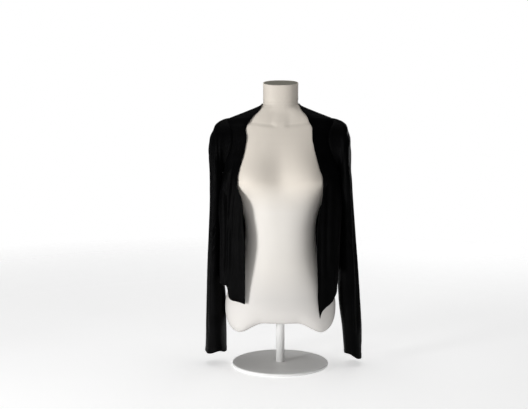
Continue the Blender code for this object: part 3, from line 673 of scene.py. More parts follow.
def angle_at_width(x, z):
    """Angle forward of the side line at which the cloth is that far from the middle."""
    reach = cloth_radius(QUARTER_TURN, np.full_like(QUARTER_TURN, z))
    width = np.maximum.accumulate((reach * np.cos(QUARTER_TURN))[::-1])[::-1]
    return float(np.interp(-x, -width, QUARTER_TURN))


def angle_at_depth(depth, z, way):
    """Angle from the side line, forward (1) or back (-1), at which the cloth is that deep."""
    reach = cloth_radius(way * QUARTER_TURN, np.full_like(QUARTER_TURN, z))
    deep = np.maximum.accumulate(reach * np.sin(QUARTER_TURN))
    return float(np.interp(depth, deep, QUARTER_TURN))


def panel_heights(low, depth, way):
    """Rows of a panel from its hem to the neck, and the angle its armhole cuts from each."""
    turn = np.pi * np.arange(ARMHOLE_ROWS + 1) / ARMHOLE_ROWS
    half = 0.5 * (SHOULDER_POINT_HEIGHT - UNDERARM_HEIGHT)
    rise = np.linspace(0.0, 1.0, SHOULDER_ROWS + 1)[1:] ** SHOULDER_ROW_POWER
    shoulder = SHOULDER_POINT_HEIGHT + (NECK_POINT_HEIGHT - SHOULDER_POINT_HEIGHT) * rise
    upper = np.append(ARMHOLE_MIDDLE - half * np.cos(turn), shoulder)
    steps = ((np.arange(LOWER_ROWS) / LOWER_ROWS) ** LOWER_ROW_POWER)[:, None]
    heights = np.concatenate([low + (UNDERARM_HEIGHT - low) * steps,
                              np.repeat(upper[:, None], len(low), axis=1)])
    cut = np.zeros((len(heights), 1))
    for row, sweep in enumerate(np.sin(turn), LOWER_ROWS):
        cut[row] = angle_at_depth(depth * sweep, heights[row, 0], way)
    return heights, cut


# ---------------------------------------------------------------- meshes
def new_object(name, vertices, faces, material, smooth=True, uv=None):
    mesh = bpy.data.meshes.new(name)
    mesh.from_pydata(np.asarray(vertices, dtype=float).tolist(), [], faces)
    if uv is None:
        mesh.validate()
    else:
        mesh.uv_layers.new(name="cloth").data.foreach_set("uv", uv.astype(np.float32).ravel())
    mesh.update()
    mesh.polygons.foreach_set("use_smooth", [smooth] * len(mesh.polygons))
    mesh.materials.append(material)
    thing = bpy.data.objects.new(name, mesh)
    bpy.context.scene.collection.objects.link(thing)
    return thing


def grid_normals(points, closed, outward):
    """Unit normals of a grid of points, on the side that outward points to."""
    if closed:
        across = np.roll(points, -1, axis=1) - np.roll(points, 1, axis=1)
    else:
        across = np.gradient(points, axis=1)
    normal = np.cross(across, np.gradient(points, axis=0))
    normal *= np.sign(np.sum(normal * outward, axis=-1, keepdims=True))
    return normal / np.maximum(np.linalg.norm(normal, axis=-1, keepdims=True), TINY)


def lengths(points, axis):
    """Distance run along a line, or a grid's rows or columns, starting at zero."""
    step = np.linalg.norm(np.diff(points, axis=axis), axis=-1)
    return np.insert(np.cumsum(step, axis=axis), 0, 0.0, axis=axis)


def quads(grid):
    """The four corners of each cell of a grid of numbers."""
    return np.stack([grid[:-1, :-1], grid[:-1, 1:], grid[1:, 1:], grid[1:, :-1]], axis=-1).reshape(-1, 4)


def rims(grid, closed):
    """The open edges of a grid of numbers, each as a line that ends where it starts."""
    if closed:
        return [grid[0], grid[-1, ::-1]]
    return [np.concatenate([grid[0], grid[1:, -1], grid[-1, -2::-1], grid[-2::-1, 0]])]


def shell(name, inner, outer, uv, closed, material):
    """A thin closed wall of cloth between two equal grids, with rounded edges."""
    count = inner.shape[0] * inner.shape[1]
    index = np.arange(count).reshape(inner.shape[:2])
    if closed:
        index = np.concatenate([index, index[:, :1]], axis=1)
    spots = np.arange(uv.shape[0] * uv.shape[1]).reshape(uv.shape[:2])
    faces = [quads(index) + count, quads(index)[:, ::-1]]
    corners = [quads(spots), quads(spots)[:, ::-1]]
    middle = 0.5 * (inner + outer)
    away = middle.copy()
    away[0] -= middle[1]
    away[-1] -= middle[-2]
    if not closed:
        away[1:-1, 0] -= middle[1:-1, 1]
        away[1:-1, -1] -= middle[1:-1, -2]
    points = [inner.reshape(-1, 3), outer.reshape(-1, 3)]
    total = 2 * count
    for ring, spot in zip(rims(index, closed), rims(spots, closed)):
        last = len(ring) - 1
        out = away.reshape(-1, 3)[ring[:last]]
        out /= np.maximum(np.linalg.norm(out, axis=1, keepdims=True), TINY)
        points.append(middle.reshape(-1, 3)[ring[:last]] + out * EDGE_ROUND)
        edge = total + np.append(np.arange(last), 0)
        faces.append(np.stack([edge[1:], edge[:-1], ring[:-1], ring[1:]], axis=1))
        faces.append(np.stack([ring[1:] + count, ring[:-1] + count, edge[:-1], edge[1:]], axis=1))
        corners += [np.stack([spot[1:], spot[:-1], spot[:-1], spot[1:]], axis=1)] * 2
        total += last
    vertices = np.concatenate(points)
    polygons = np.concatenate(faces)
    uvs = uv.reshape(-1, 2)[np.concatenate(corners).ravel()]
    piece = new_object(name, vertices, polygons.tolist(), material, uv=uvs)
    p = vertices[polygons]
    if np.sum(p[:, 0] * (np.cross(p[:, 1], p[:, 2]) + np.cross(p[:, 2], p[:, 3]))) < 0.0:
        piece.data.flip_normals()
    return piece


def stacked(name, rings, material):
    """A closed body from rings of points, with a middle point at each end."""
    rings = np.asarray(rings, dtype=float)
    count = rings.shape[1]
    after = [(k + 1) % count for k in range(count)]
    faces = []
    for a in range(0, (len(rings) - 1) * count, count):
        faces += [(a + k, a + n, a + count + n, a + count + k) for k, n in enumerate(after)]
    vertices = np.concatenate([rings.reshape(-1, 3), [rings[0].mean(axis=0), rings[-1].mean(axis=0)]])
    first = len(rings) * count
    end = first - count
    faces += [(first, n, k) for k, n in enumerate(after)]
    faces += [(first + 1, end + k, end + n) for k, n in enumerate(after)]
    return new_object(name, vertices, faces, material)


# ---------------------------------------------------------------- cloth pieces
def stitching(name, lines, material):
    """Small raised stitches laid end to end along lines on the cloth."""
    vertices = []
    faces = []
    around = circle(STITCH_SIDES)
    for points, normals in lines:
        run = lengths(points, 0)
        count = int(run[-1] / STITCH_PITCH)
        for middle in (np.arange(count) + 0.5) * run[-1] / count:
            tail, tip = (np.array([np.interp(middle + end * STITCH_LENGTH, run, points[:, k])
                                   for k in range(3)]) for end in (-0.5, 0.5))
            up = normals[int(np.argmin(np.abs(run - middle)))]
            along = tip - tail
            aside = np.cross(along / max(np.linalg.norm(along), TINY), up)
            first = len(vertices)
            vertices.append(tail - up * STITCH_SUNK)
            for share in STITCH_RINGS:
                for turn in around:
                    vertices.append(tail + along * share + aside * (STITCH_HALF * math.cos(turn))
                                    + up * (STITCH_RISE * math.sin(turn)))
            vertices.append(tip - up * STITCH_SUNK)
            low = first + 1
            high = low + STITCH_SIDES
            for k in range(STITCH_SIDES):
                n = (k + 1) % STITCH_SIDES
                faces.append((first, low + n, low + k))
                faces.append((low + k, low + n, high + n, high + k))
                faces.append((high + STITCH_SIDES, high + k, high + n))
    return new_object(name, vertices, faces, material)


def line_at(points, run, normals, distance):
    """Points a distance up the columns of a grid, lifted for stitches, and their normals."""
    both = np.concatenate([points, normals], axis=-1)
    line = np.array([[np.interp(distance, run[:, k], both[:, k, c]) for c in range(6)]
                     for k in range(both.shape[1])])
    ups = line[:, 3:] / np.linalg.norm(line[:, 3:], axis=1, keepdims=True)
    return line[:, :3] + ups * STITCH_LIFT, ups


def ripple(first, second, seed, count, wide, tall):
    """Smooth uneven waves with crests mostly along the second measure, seldom beyond 2."""
    least, more = RIPPLE_SPREAD
    source = np.random.default_rng(seed)
    total = np.zeros_like(first)
    for _ in range(count):
        across = 2.0 * np.pi / (wide * (least + more * source.random()))
        along = 2.0 * np.pi / (tall * (least + more * source.random()))
        along *= 1.0 if source.random() < 0.5 else -1.0
        total += np.sin(across * first + along * second + 2.0 * np.pi * source.random())
    return total / math.sqrt(count)


def raised(angle, z, ridges):
    """Sum of listed ridges and troughs that follow their own lines down the cloth."""
    z = MILLIMETRES * z
    total = np.zeros_like(angle)
    for rise, half_angle, top_fade, bottom_fade, line in ridges:
        middle = column_curve(line, ("height", "angle"), "angle")(z)
        grow = smoothstep(line[0][0] - z, 0.0, top_fade)
        grow = grow * smoothstep(z - line[-1][0], 0.0, bottom_fade)
        total = total + rise * grow * bell((angle - middle) / half_angle)
    return total / MILLIMETRES


def pressed(detail, beside):
    """Turns folds inward where another piece lies close beside the cloth."""
    return detail * (1.0 - beside) - PRESSED_SHARE * np.abs(detail) * beside


def thickness(hem_run, free_runs, seam_runs, ridge=1.0):
    """What turned hems and edges add to the wall, and seams draw in or raise beside them."""
    thick = HEM_EXTRA * (1.0 - smoothstep(hem_run, HEM_DEPTH - HEM_STEP, HEM_DEPTH))
    for run in free_runs:
        thick = np.maximum(thick, HEM_EXTRA * (1.0 - smoothstep(run, EDGE_DEPTH - EDGE_STEP, EDGE_DEPTH)))
    for run in seam_runs:
        thick = thick - SEAM_DIP * bell(run / SEAM_HALF)
        thick = thick + ridge * SEAM_RIDGE * bell((run - SEAM_RIDGE_AT) / SEAM_HALF)
    return thick


def panel_middle(surface, angle, height, seam_columns, seam_side):
    """Points and normals of a panel; its seam edges stay in a plane beside the side line."""
    points = surface(angle, height)
    across = surface(angle + SMALL_TURN, height) - surface(angle - SMALL_TURN, height)
    upward = surface(angle, height + SMALL_RISE) - surface(angle, height - SMALL_RISE)
    normal = np.cross(across, upward)
    normal *= np.sign(np.sum(normal * (points * FLAT), axis=-1, keepdims=True))
    for column in seam_columns:
        on_side = np.abs(angle[:, column] - angle[0, column]) < SAME_ANGLE
        normal[on_side, column, 1] = 0.0
        points[on_side, column, 1] = 0.5 * seam_side * SEAM_GAP
    return points, normal / np.linalg.norm(normal, axis=-1, keepdims=True)


def finish_panel(name, base, normal, height, degrees, form_angle, creases, look, beside, free_edge,
                 material):
    """Adds folds, hems and seams to a panel; gives also its stitch lines and armhole edges."""
    seed, waves, flare_pitch = look
    run_across = lengths(base, 1)
    run_up = lengths(base, 0)
    seams = [run_across, run_across[:, -1:] - run_across, run_up[-1:] - run_up]
    free = []
    if free_edge:
        free.append(seams.pop(0))
    hanging = smoothstep(HANG_TOP - height, 0.0, HANG_GROWN)
    calm = 1.0
    for run in seams:
        calm = calm * smoothstep(run, 0.0, CALM_REACH)
    detail = raised(degrees, height, creases) * calm
    soft = RIPPLE_RISE * ripple(run_across, height, seed, *waves)
    detail = detail + soft * calm * (RIPPLE_WORN + (1.0 - RIPPLE_WORN) * hanging)
    flare = HEM_WAVE * np.exp(-run_up / HEM_WAVE_REACH) * np.sin(run_across / flare_pitch + seed) * calm
    for run in free:
        flare = flare * smoothstep(run, 0.0, EDGE_CALM)
    detail = detail + flare
    for run in free:
        detail = detail + EDGE_CURL * bell(run / EDGE_CURL_REACH) * hanging
    slack = np.linalg.norm(base[..., :2], axis=-1) - form_radius(form_angle, height)
    floor = -ROOM_SHARE * np.maximum(slack, 0.0) - SLACK_KEPT
    detail = pressed(soft_maximum(detail, floor, SLACK_BLEND), beside)
    middle = base + normal * detail[..., None]
    facing = grid_normals(middle, False, base * FLAT)
    inner = middle + facing * CLOTH_REST
    outer = middle + facing * (CLOTH_REST + CLOTH_WALL + thickness(run_up, free, seams))[..., None]
    uv = np.stack([run_across, run_up - run_up[-1:]], axis=-1)
    piece = shell(name, inner, outer, uv, False, material)
    lines = [[part[1:-1] for part in line_at(outer, run_up, facing, row)] for row in HEM_ROWS]
    if free_edge:
        edge = line_at(outer.swapaxes(0, 1), run_across.T, facing.swapaxes(0, 1), EDGE_ROW)
        lines.append([part[3:-2] for part in edge])
    face = base + normal * (CLOTH_REST + CLOTH_WALL)
    armhole = slice(LOWER_ROWS, LOWER_ROWS + ARMHOLE_ROWS + 1)
    return piece, lines, [(face[armhole, column], normal[armhole, column]) for column in (0, -1)]


def front_piece(name, side, edge_name, ridges, creases, look, material):
    """One front, from its free edge to the side seam, armhole and shoulder seam."""
    edge = column_curve(FRONT_EDGE, FRONT_EDGE_COLUMNS, edge_name)
    hem = column_curve(FRONT_HEM, FRONT_HEM_COLUMNS, edge_name)
    across = np.linspace(0.0, 1.0, FRONT_COLUMNS + 1)
    height, end = panel_heights(hem(across), ARMHOLE_FRONT_DEPTH, 1.0)
    start = np.array([[angle_at_width(float(edge(z)), z)] for z in height[:, 0]])
    angle = start + (end - start) * across
    surface = front_surface(side, ridges, float(hem(0.5)))
    base, normal = panel_middle(surface, angle, height, (-1,), -1.0)
    return finish_panel(name, base, normal, height, np.degrees(angle), angle, creases, look, 0.0, True,
                        material)


def back_piece(name, creases, look, material):
    """The back, from the left side seam round the back to the right one."""
    left_hem, right_hem = FRONT_HEM[-1][1:]
    hem = column_curve(((-1.0, left_hem), (0.0, BACK_HEM_MIDDLE), (1.0, right_hem)),
                       ("across", "height"), "height")
    across = np.linspace(-1.0, 1.0, BACK_COLUMNS + 1)
    height, end = panel_heights(hem(across), ARMHOLE_BACK_DEPTH, -1.0)
    dip = BACK_NECK_DROP * np.arange(1, SHOULDER_ROWS + 1)[:, None] / SHOULDER_ROWS
    height[-SHOULDER_ROWS:] -= dip * (1.0 - smoothstep(np.abs(across), BACK_NECK_FLAT, 1.0))
    angle = (0.5 * np.pi - end) * across
    base, normal = panel_middle(back_surface, angle, height, (0, -1), 1.0)
    degrees = np.degrees(angle)
    beside = smoothstep(np.abs(degrees), *BACK_BESIDE)
    return finish_panel(name, base, normal, height, degrees, np.abs(angle) - 0.5 * np.pi, creases, look,
                        beside, False, material)


def armhole_ring(front, back):
    """Inner and outer ring round the armhole, up the front edge and down the back edge."""
    front_points, front_normals = front
    back_points, back_normals = back
    bottom = 0.5 * (front_points[0] + back_points[0])
    top = 0.5 * (front_points[-1] + back_points[-1])
    points = np.concatenate([[bottom], front_points[1:-1], [top], back_points[-2:0:-1]])
    normals = np.concatenate([front_normals[:-1], back_normals[:0:-1]])
    away = points - np.array([0.0, 0.0, ARMHOLE_MIDDLE])
    away[:, 0] = 0.0
    away /= np.linalg.norm(away, axis=1, keepdims=True)
    away -= normals * np.sum(away * normals, axis=1, keepdims=True)
    away /= np.linalg.norm(away, axis=1, keepdims=True)
    inner = points + normals * SEAM_GAP
    return inner, inner + away * CLOTH_WALL + normals * SLEEVE_LIFT


def sleeve_rings(start, turn, side, cap, table, cuff_slope):
    """Armhole ring, cap rings turned about the underarm, then the rings of the hanging tube."""
    rings = [start]

    def add_ring(x, y, z, reach, front_depth, back_depth, lean, wave):
        """Oval ring; lean tells how its long way is tilted from level (0) to upright."""
        inset = 0.5 * CLOTH_WALL
        depth = np.where(np.sin(turn) >= 0.0, front_depth, back_depth)
        out = -(reach - inset + wave) * np.cos(turn)
        deep = -(depth - inset + wave) * np.sin(turn)
        rings.append(np.stack([side * (x + out * math.cos(lean)), y + deep,
                               z + out * math.sin(lean)], axis=-1))

    for angle, reach, front_depth, back_depth in cap:
        lean = math.radians(angle)
        middle = 0.5 * (reach + CAP_INNER_REACH)
        add_ring(CAP_PIVOT_X + middle * math.cos(lean), 0.0, CAP_PIVOT_HEIGHT + middle * math.sin(lean),
                 0.5 * (reach - CAP_INNER_REACH), front_depth, back_depth, lean, 0.0)
    curves = [column_curve(table, SLEEVE_COLUMNS, name) for name in SLEEVE_COLUMNS[1:]]
    for share in np.arange(SLEEVE_RINGS + 1) / SLEEVE_RINGS:
        height = table[0][0] + (table[-1][0] - table[0][0]) * share
        inner_x, outer_x, forward, half_depth = (float(curve(height)) for curve in curves)
        swell = SLEEVE_WAVE_RISE * float(smoothstep(share, 0.0, SLEEVE_WAVE_GROWN))
        wave = swell * np.cos(SLEEVE_WAVES * turn + side + SLEEVE_WAVE_TWIST * share)
        add_ring(0.5 * (inner_x + outer_x), -forward, height, 0.5 * (outer_x - inner_x), half_depth,
                 half_depth, -math.atan(cuff_slope) * share ** CUFF_SLOPE_POWER, wave)
    return np.array(rings)


def sleeve_piece(name, side, front, back, cap, table, cuff_slope, cuff_shape, creases, seed, material):
    """One sleeve, from its cuff up to the armhole, with its folds, hem and seam."""
    start_inner, start_outer = armhole_ring(front, back)
    start = 0.5 * (start_inner + start_outer)
    turn = circle(2 * ARMHOLE_ROWS)
    rings = sleeve_rings(start, turn, side, cap, table, cuff_slope)
    outer_line = rings[:, ARMHOLE_ROWS]
    steps = (np.linalg.norm(np.diff(outer_line, axis=0), axis=1)
             + np.linalg.norm(np.diff(rings.mean(axis=1), axis=0), axis=1))
    stations = np.insert(np.cumsum(steps), 0, 0.0)
    base = smooth_curve(stations, rings)(np.linspace(0.0, stations[-1], SLEEVE_ROWS + 1))[::-1]
    normal = grid_normals(base, True, base - base.mean(axis=1, keepdims=True))
    run_up = lengths(base, 0)
    from_top = run_up[-1:] - run_up
    run_round = lengths(np.concatenate([base, base[:, :1]], axis=1), 1)
    height = base[..., 2]
    degrees = np.broadcast_to(np.degrees(turn), height.shape)
    around = np.radians(degrees)
    calm = smoothstep(from_top, *SLEEVE_CALM)
    detail = raised(degrees, height, creases) * calm
    soft = ripple(SLEEVE_RADIUS * np.cos(around), height, seed, *SLEEVE_RIPPLE)
    soft = soft + ripple(SLEEVE_RADIUS * np.sin(around), height, seed + SECOND_SEED, *SLEEVE_RIPPLE)
    detail = detail + SLEEVE_RIPPLE_SHARE * RIPPLE_RISE * soft * calm
    detail = detail + HEM_WAVE * np.exp(-run_up / HEM_WAVE_REACH) * np.sin(CUFF_FLARES * around + seed)
    detail = pressed(detail, smoothstep(np.cos(around), *SLEEVE_BESIDE))
    shift = np.zeros_like(height)
    for rise, middle_angle, half_angle in cuff_shape:
        away = (degrees - middle_angle + 180.0) % 360.0 - 180.0
        shift = shift + rise * bell(away / half_angle)
    base[..., 2] += shift * bell(run_up / CUFF_SHAPE_REACH)
    middle = base + normal * detail[..., None]
    facing = grid_normals(middle, True, middle - middle.mean(axis=1, keepdims=True))
    thick = thickness(run_up, [], [from_top], ridge=2.0)
    inner = middle - facing * (0.5 * CLOTH_WALL)
    outer = middle + facing * (0.5 * CLOTH_WALL + thick)[..., None]
    blend = (1.0 - smoothstep(from_top, 0.0, SLEEVE_BLEND))[..., None]
    inner = inner * (1.0 - blend) + (middle + (start_inner - start)) * blend
    outer = outer * (1.0 - blend) + (middle + (start_outer - start)) * blend
    closed_up = np.concatenate([run_up, run_up[:, :1]], axis=1)
    uv = np.stack([run_round, closed_up - closed_up[-1:]], axis=-1)
    piece = shell(name, inner, outer, uv, True, material)
    lines = [[np.concatenate([part, part[:1]]) for part in line_at(outer, run_up, facing, row)]
             for row in HEM_ROWS]
    return piece, lines


# ---------------------------------------------------------------- form and stand
def collarbones(x, y, z):
    """Shallow hollows above the collarbones, each ending at a crisp crest below it."""
    aside = np.abs(x)
    share = np.clip((aside - COLLAR_START) / COLLAR_REACH, 0.0, 1.0)
    line = COLLAR_LOW + (COLLAR_HIGH - COLLAR_LOW) * share
    along = smoothstep(aside, COLLAR_START - COLLAR_LEAD, COLLAR_START + COLLAR_GROWN)
    along = along * (1.0 - smoothstep(share, COLLAR_END, 1.0))
    above = (z - line) / COLLAR_HALF
    hollow = smoothstep(above, 0.0, COLLAR_CREST) * np.exp(-np.maximum(above, 0.0) / COLLAR_FALL)
    return np.where(y < 0.0, -COLLAR_DEPTH * hollow * along, 0.0)


def evened(curve, z, reach):
    """A curve of the form averaged a little way up and down."""
    total = np.zeros_like(z)
    for step, weight in EVEN_WEIGHTS:
        total = total + weight * curve(z + step * reach)
    return total


def smooth_form_radius(angle, z):
    """The form's reach without the small breaks between the heights of its table."""
    even = FORM_EVEN * (1.0 - smoothstep(z, FORM_EVEN_TOP - FORM_EVEN_FADE, FORM_EVEN_TOP))
    plain = section_radius(angle, *(evened(curve, z, even) for curve in FORM_CURVES))
    throat = bell((z - THROAT_HEIGHT) / THROAT_HALF) * smoothstep(np.degrees(angle), *THROAT_TURN)
    aside = np.maximum(0.5 * np.pi - angle, 0.0)
    soft = 0.5 * np.pi - np.sqrt(aside * aside + math.radians(CLEFT_TURN) ** 2)
    return plain - THROAT_DEPTH * throat + bust(np.where(angle > 0.0, soft, angle), z)


def form_grid(heights, scales):
    """Rings of the form with its arched lower edge, collarbones and tilted neck top."""
    turn = circle(FORM_ROUND)
    z = np.repeat(np.asarray(heights)[:, None], FORM_ROUND, axis=1)
    forward = np.broadcast_to(np.arcsin(np.clip(-np.sin(turn), -1.0, 1.0)), z.shape)
    reach = smooth_form_radius(forward, np.maximum(z, FORM_ROUND_TOP))
    hollow = collarbones(reach * np.cos(turn), reach * np.sin(turn), z)
    reach = (reach + hollow) * np.asarray(scales)[:, None]
    x = reach * np.cos(turn)
    y = reach * np.sin(turn)
    arch = 1.0 - smoothstep(np.abs(x), LOWER_ARCH_FLAT, LOWER_ARCH_END)
    low = 1.0 - smoothstep(z, FORM[0][0], LOWER_ARCH_TOP)
    tilt = NECK_TILT * y * smoothstep(z, NECK_TILT_START, NECK_TOP - NECK_RECESS)
    return np.stack([x, y, z + LOWER_ARCH_RISE * arch * low + tilt], axis=-1)


def form_piece(name, material):
    """The form: its underside, rounded lower edge, body, and the neck's lip and recess."""
    low = FORM[0][0]
    heights = [low] * UNDERSIDE_RINGS
    scales = list(FORM_ROUND_INNER * np.linspace(*UNDERSIDE_REACH, UNDERSIDE_RINGS))
    for turn in np.radians(np.linspace(90.0, 0.0, ROUND_RINGS)):
        heights.append(FORM_ROUND_TOP - (FORM_ROUND_TOP - low) * math.sin(turn) ** FORM_ROUND_SHAPE)
        flat = max(math.cos(turn), 0.0) ** FORM_ROUND_SHAPE
        scales.append(FORM_ROUND_INNER + (1.0 - FORM_ROUND_INNER) * flat)
    tops = [start for start, _ in FORM_BANDS[1:]] + [NECK_TOP - NECK_LIP[0][0]]
    for (start, count), stop in zip(FORM_BANDS, tops):
        heights += list(np.linspace(start, stop, count, endpoint=False))
        scales += [1.0] * count
    rim = 1.0 - NECK_RIM / FORM[-1][1]
    lip = NECK_LIP + tuple((drop, rim + more) for drop, more in NECK_HOLLOW)
    heights += [NECK_TOP - drop for drop, _ in lip]
    scales += [scale for _, scale in lip]
    return stacked(name, form_grid(heights, scales), material)


def turned_piece(name, profile, material, tilt=0.0):
    """A round body from (radius, height) pairs, its heights tilted forward if asked."""
    turn = circle(TURN_ROUND)
    rings = []
    for radius, height in profile:
        y = radius * np.sin(turn)
        rings.append(np.stack([radius * np.cos(turn), y, height + tilt * y], axis=-1))
    return stacked(name, rings, material)


def rounded(corner_radius, radius, height, start, stop, count):
    """Arc of (radius, height) pairs about a point, between two angles in degrees."""
    turn = np.radians(np.linspace(start, stop, count))
    return [(radius + corner_radius * math.cos(a), height + corner_radius * math.sin(a)) for a in turn]


def cap_profile():
    """Disc in the neck's recess, its edge rounded and its top very slightly domed."""
    radius = FORM[-1][1] - NECK_RIM - SEAM_GAP
    bottom = NECK_TOP - NECK_RECESS + SEAM_GAP
    top = bottom + CAP_THICKNESS
    flat = radius - CAP_EDGE
    profile = [(radius - CAP_FOOT, bottom), (radius, bottom + CAP_FOOT), (radius, top - CAP_EDGE),
               (radius - CAP_SOFT, top - CAP_SOFT), (flat, top)]
    for share in CAP_SHARES:
        profile.append((flat * share, top + CAP_DOME * (1.0 - share * share)))
    return profile


def base_profile():
    """Round plate, its edges rounded."""
    foot = BASE_FOOT_EDGE
    profile = rounded(foot, BASE_RADIUS - foot, foot, -90.0, 0.0, 5)
    profile += rounded(BASE_EDGE, BASE_RADIUS - BASE_EDGE, BASE_THICKNESS - BASE_EDGE, 0.0, 90.0, 9)
    return profile + [(share * BASE_RADIUS, BASE_THICKNESS) for share in BASE_SHARES]


def post_profile():
    """Tube with a hollow curve out to the flange that carries the form."""
    top = FORM[0][0] + LOWER_ARCH_RISE - SEAM_GAP
    low = top - FLANGE_THICKNESS
    profile = [(POST_RADIUS, BASE_THICKNESS + SEAM_GAP), (POST_RADIUS, low - POST_FILLET)]
    for a in np.radians((30.0, 60.0, 90.0)):
        profile.append((POST_RADIUS + POST_FILLET - POST_FILLET * math.cos(a),
                        low - POST_FILLET + POST_FILLET * math.sin(a)))
    profile += rounded(FLANGE_EDGE, FLANGE_RADIUS - FLANGE_EDGE, low + FLANGE_EDGE, -90.0, 0.0, 5)
    profile += rounded(FLANGE_EDGE, FLANGE_RADIUS - FLANGE_EDGE, top - FLANGE_EDGE, 0.0, 90.0, 5)
    return profile + [(share * FLANGE_RADIUS, top) for share in FLANGE_SHARES]


# ---------------------------------------------------------------- materials
def feed(tree, node, inputs):
    """Gives a node's inputs their values, or links them to the sockets that feed them."""
    for key, value in inputs.items():
        if isinstance(value, (int, float, tuple)):
            node.inputs[key].default_value = value
        else:
            tree.links.new(value, node.inputs[key])


def add_node(tree, kind, inputs=None, **settings):
    node = tree.nodes.new("ShaderNode" + kind)
    for key, value in settings.items():
        setattr(node, key, value)
    feed(tree, node, inputs or {})
    return node


def maths(tree, operation, *values, clamp=False):
    inputs = dict(enumerate(values))
    return add_node(tree, "Math", inputs, operation=operation, use_clamp=clamp).outputs[0]


def noise(tree, where, scale, detail, roughness=0.5):
    inputs = {"Vector": where, "Scale": scale, "Detail": detail, "Roughness": roughness}
    return add_node(tree, "TexNoise", inputs).outputs["Fac"]


def remap(tree, value, span, to=(0.0, 1.0)):
    inputs = {"Value": value, "From Min": span[0], "From Max": span[1], "To Min": to[0], "To Max": to[1]}
    return add_node(tree, "MapRange", inputs).outputs["Result"]


def mix_colours(tree, factor, first, second):
    node = add_node(tree, "Mix", {"Factor": factor}, data_type="RGBA")
    sockets = [number for number, socket in enumerate(node.inputs) if socket.type == "RGBA"]
    for number, value in zip(sockets, (first, second)):
        feed(tree, node, {number: (*value, 1.0) if isinstance(value, tuple) else value})
    return [socket for socket in node.outputs if socket.type == "RGBA"][0]


def bump(tree, height, strength, distance, under=None):
    inputs = {"Height": height, "Strength": strength, "Distance": distance}
    if under is not None:
        inputs["Normal"] = under
    return add_node(tree, "Bump", inputs).outputs["Normal"]


def new_material(name):
    """A material's node tree and shader, and where a point lies on its object."""
    material = bpy.data.materials.new(name)
    material.use_nodes = True
    tree = material.node_tree
    place = add_node(tree, "TexCoord")
    return material, tree, tree.nodes["Principled BSDF"], place


def knit_material(name, dark, light, with_uv=True):
    """Fine jersey: columns of small V stitches with painted shade in their grooves, a little fuzz, faint
    uneven dye.
    """
    material, tree, shader, place = new_material(name)
    patches = noise(tree, place.outputs["Object"], scale=22.0, detail=3.0)
    fuzz = noise(tree, place.outputs["Object"], scale=900.0, detail=2.0, roughness=0.6)
    tint = mix_colours(tree, remap(tree, patches, (0.35, 0.65)), dark, light)
    height = fuzz
    if with_uv:
        split = add_node(tree, "SeparateXYZ", {0: place.outputs["UV"]})
        inside = maths(tree, "FRACT", maths(tree, "DIVIDE", split.outputs["X"], KNIT_WALE))
        course = maths(tree, "DIVIDE", split.outputs["Y"], KNIT_COURSE)
        aside = maths(tree, "ABSOLUTE", maths(tree, "SUBTRACT", inside, 0.5))
        slant = maths(tree, "MULTIPLY", aside, KNIT_SLANT)
        phase = maths(tree, "FRACT", maths(tree, "ADD", course, slant))
        loop = maths(tree, "SINE", maths(tree, "MULTIPLY", phase, math.pi))
        steep = maths(tree, "POWER", maths(tree, "MULTIPLY", aside, 2.0), KNIT_STEEP)
        groove = maths(tree, "SUBTRACT", 1.0, steep)
        full, rest = KNIT_LOOP
        round_loop = maths(tree, "ADD", maths(tree, "MULTIPLY", loop, full), rest)
        knit = maths(tree, "MULTIPLY", round_loop, groove)
        # Painted shade: the colour darkens in the grooves between the loops.
        painted_shade = maths(tree, "MULTIPLY_ADD", knit, *KNIT_PAINTED_SHADE_RAMP, clamp=True)
        tint = mix_colours(tree, painted_shade, tuple(KNIT_GROOVE_PAINTED_SHADE * c for c in dark), tint)
        height = maths(tree, "ADD", knit, maths(tree, "MULTIPLY", fuzz, KNIT_FUZZ))
    feed(tree, shader, {
        "Base Color": tint,
        "Roughness": remap(tree, fuzz, CLOUDS, KNIT_ROUGH),
        "Specular IOR Level": KNIT_SPECULAR,
        "Sheen Weight": KNIT_SHEEN,
        "Sheen Roughness": 0.45,
        "Sheen Tint": (0.75, 0.78, 0.85, 1.0),
        "Normal": bump(tree, height, 0.55, 0.00022)})
    return material


def form_material(name):
    """Warm off-white moulded shell, satin, with faint mottling, a fine orange peel, and painted shade:
    darker over the chest and towards the bottom.
    """
    material, tree, shader, place = new_material(name)
    where = place.outputs["Object"]
    clouds = noise(tree, where, scale=6.0, detail=4.0)
    specks = noise(tree, where, scale=260.0, detail=3.0, roughness=0.6)
    peel = noise(tree, where, scale=420.0, detail=2.0)
    waves = noise(tree, where, scale=9.0, detail=2.0)
    tint = mix_colours(tree, remap(tree, clouds, CLOUDS), FORM_TINTS[0], FORM_TINTS[1])
    worn = maths(tree, "MULTIPLY", remap(tree, specks, (0.62, 0.80)), 0.25)
    tint = mix_colours(tree, worn, tint, FORM_TINTS[2])
    height = add_node(tree, "SeparateXYZ", {0: where}).outputs["Z"]
    # Painted shade: the colour darkens over the chest and towards the bottom of the form.
    for span, to, painted_shade in ((CHEST_PAINTED_SHADE_SPAN, (0.0, 1.0), CHEST_PAINTED_SHADE), (HIP_PAINTED_SHADE_SPAN, (1.0, 0.0), HIP_PAINTED_SHADE)):
        painted_shade_tint = tuple(a * b for a, b in zip(FORM_TINTS[0], painted_shade))
        tint = mix_colours(tree, remap(tree, height, span, to), tint, painted_shade_tint)
    feed(tree, shader, {
        "Base Color": tint,
        "Roughness": remap(tree, clouds, CLOUDS, (0.50, 0.60)),
        "Specular IOR Level": 0.28,
        "Normal": bump(tree, peel, 0.10, 0.00025, bump(tree, waves, 0.10, 0.0020))})
    return material


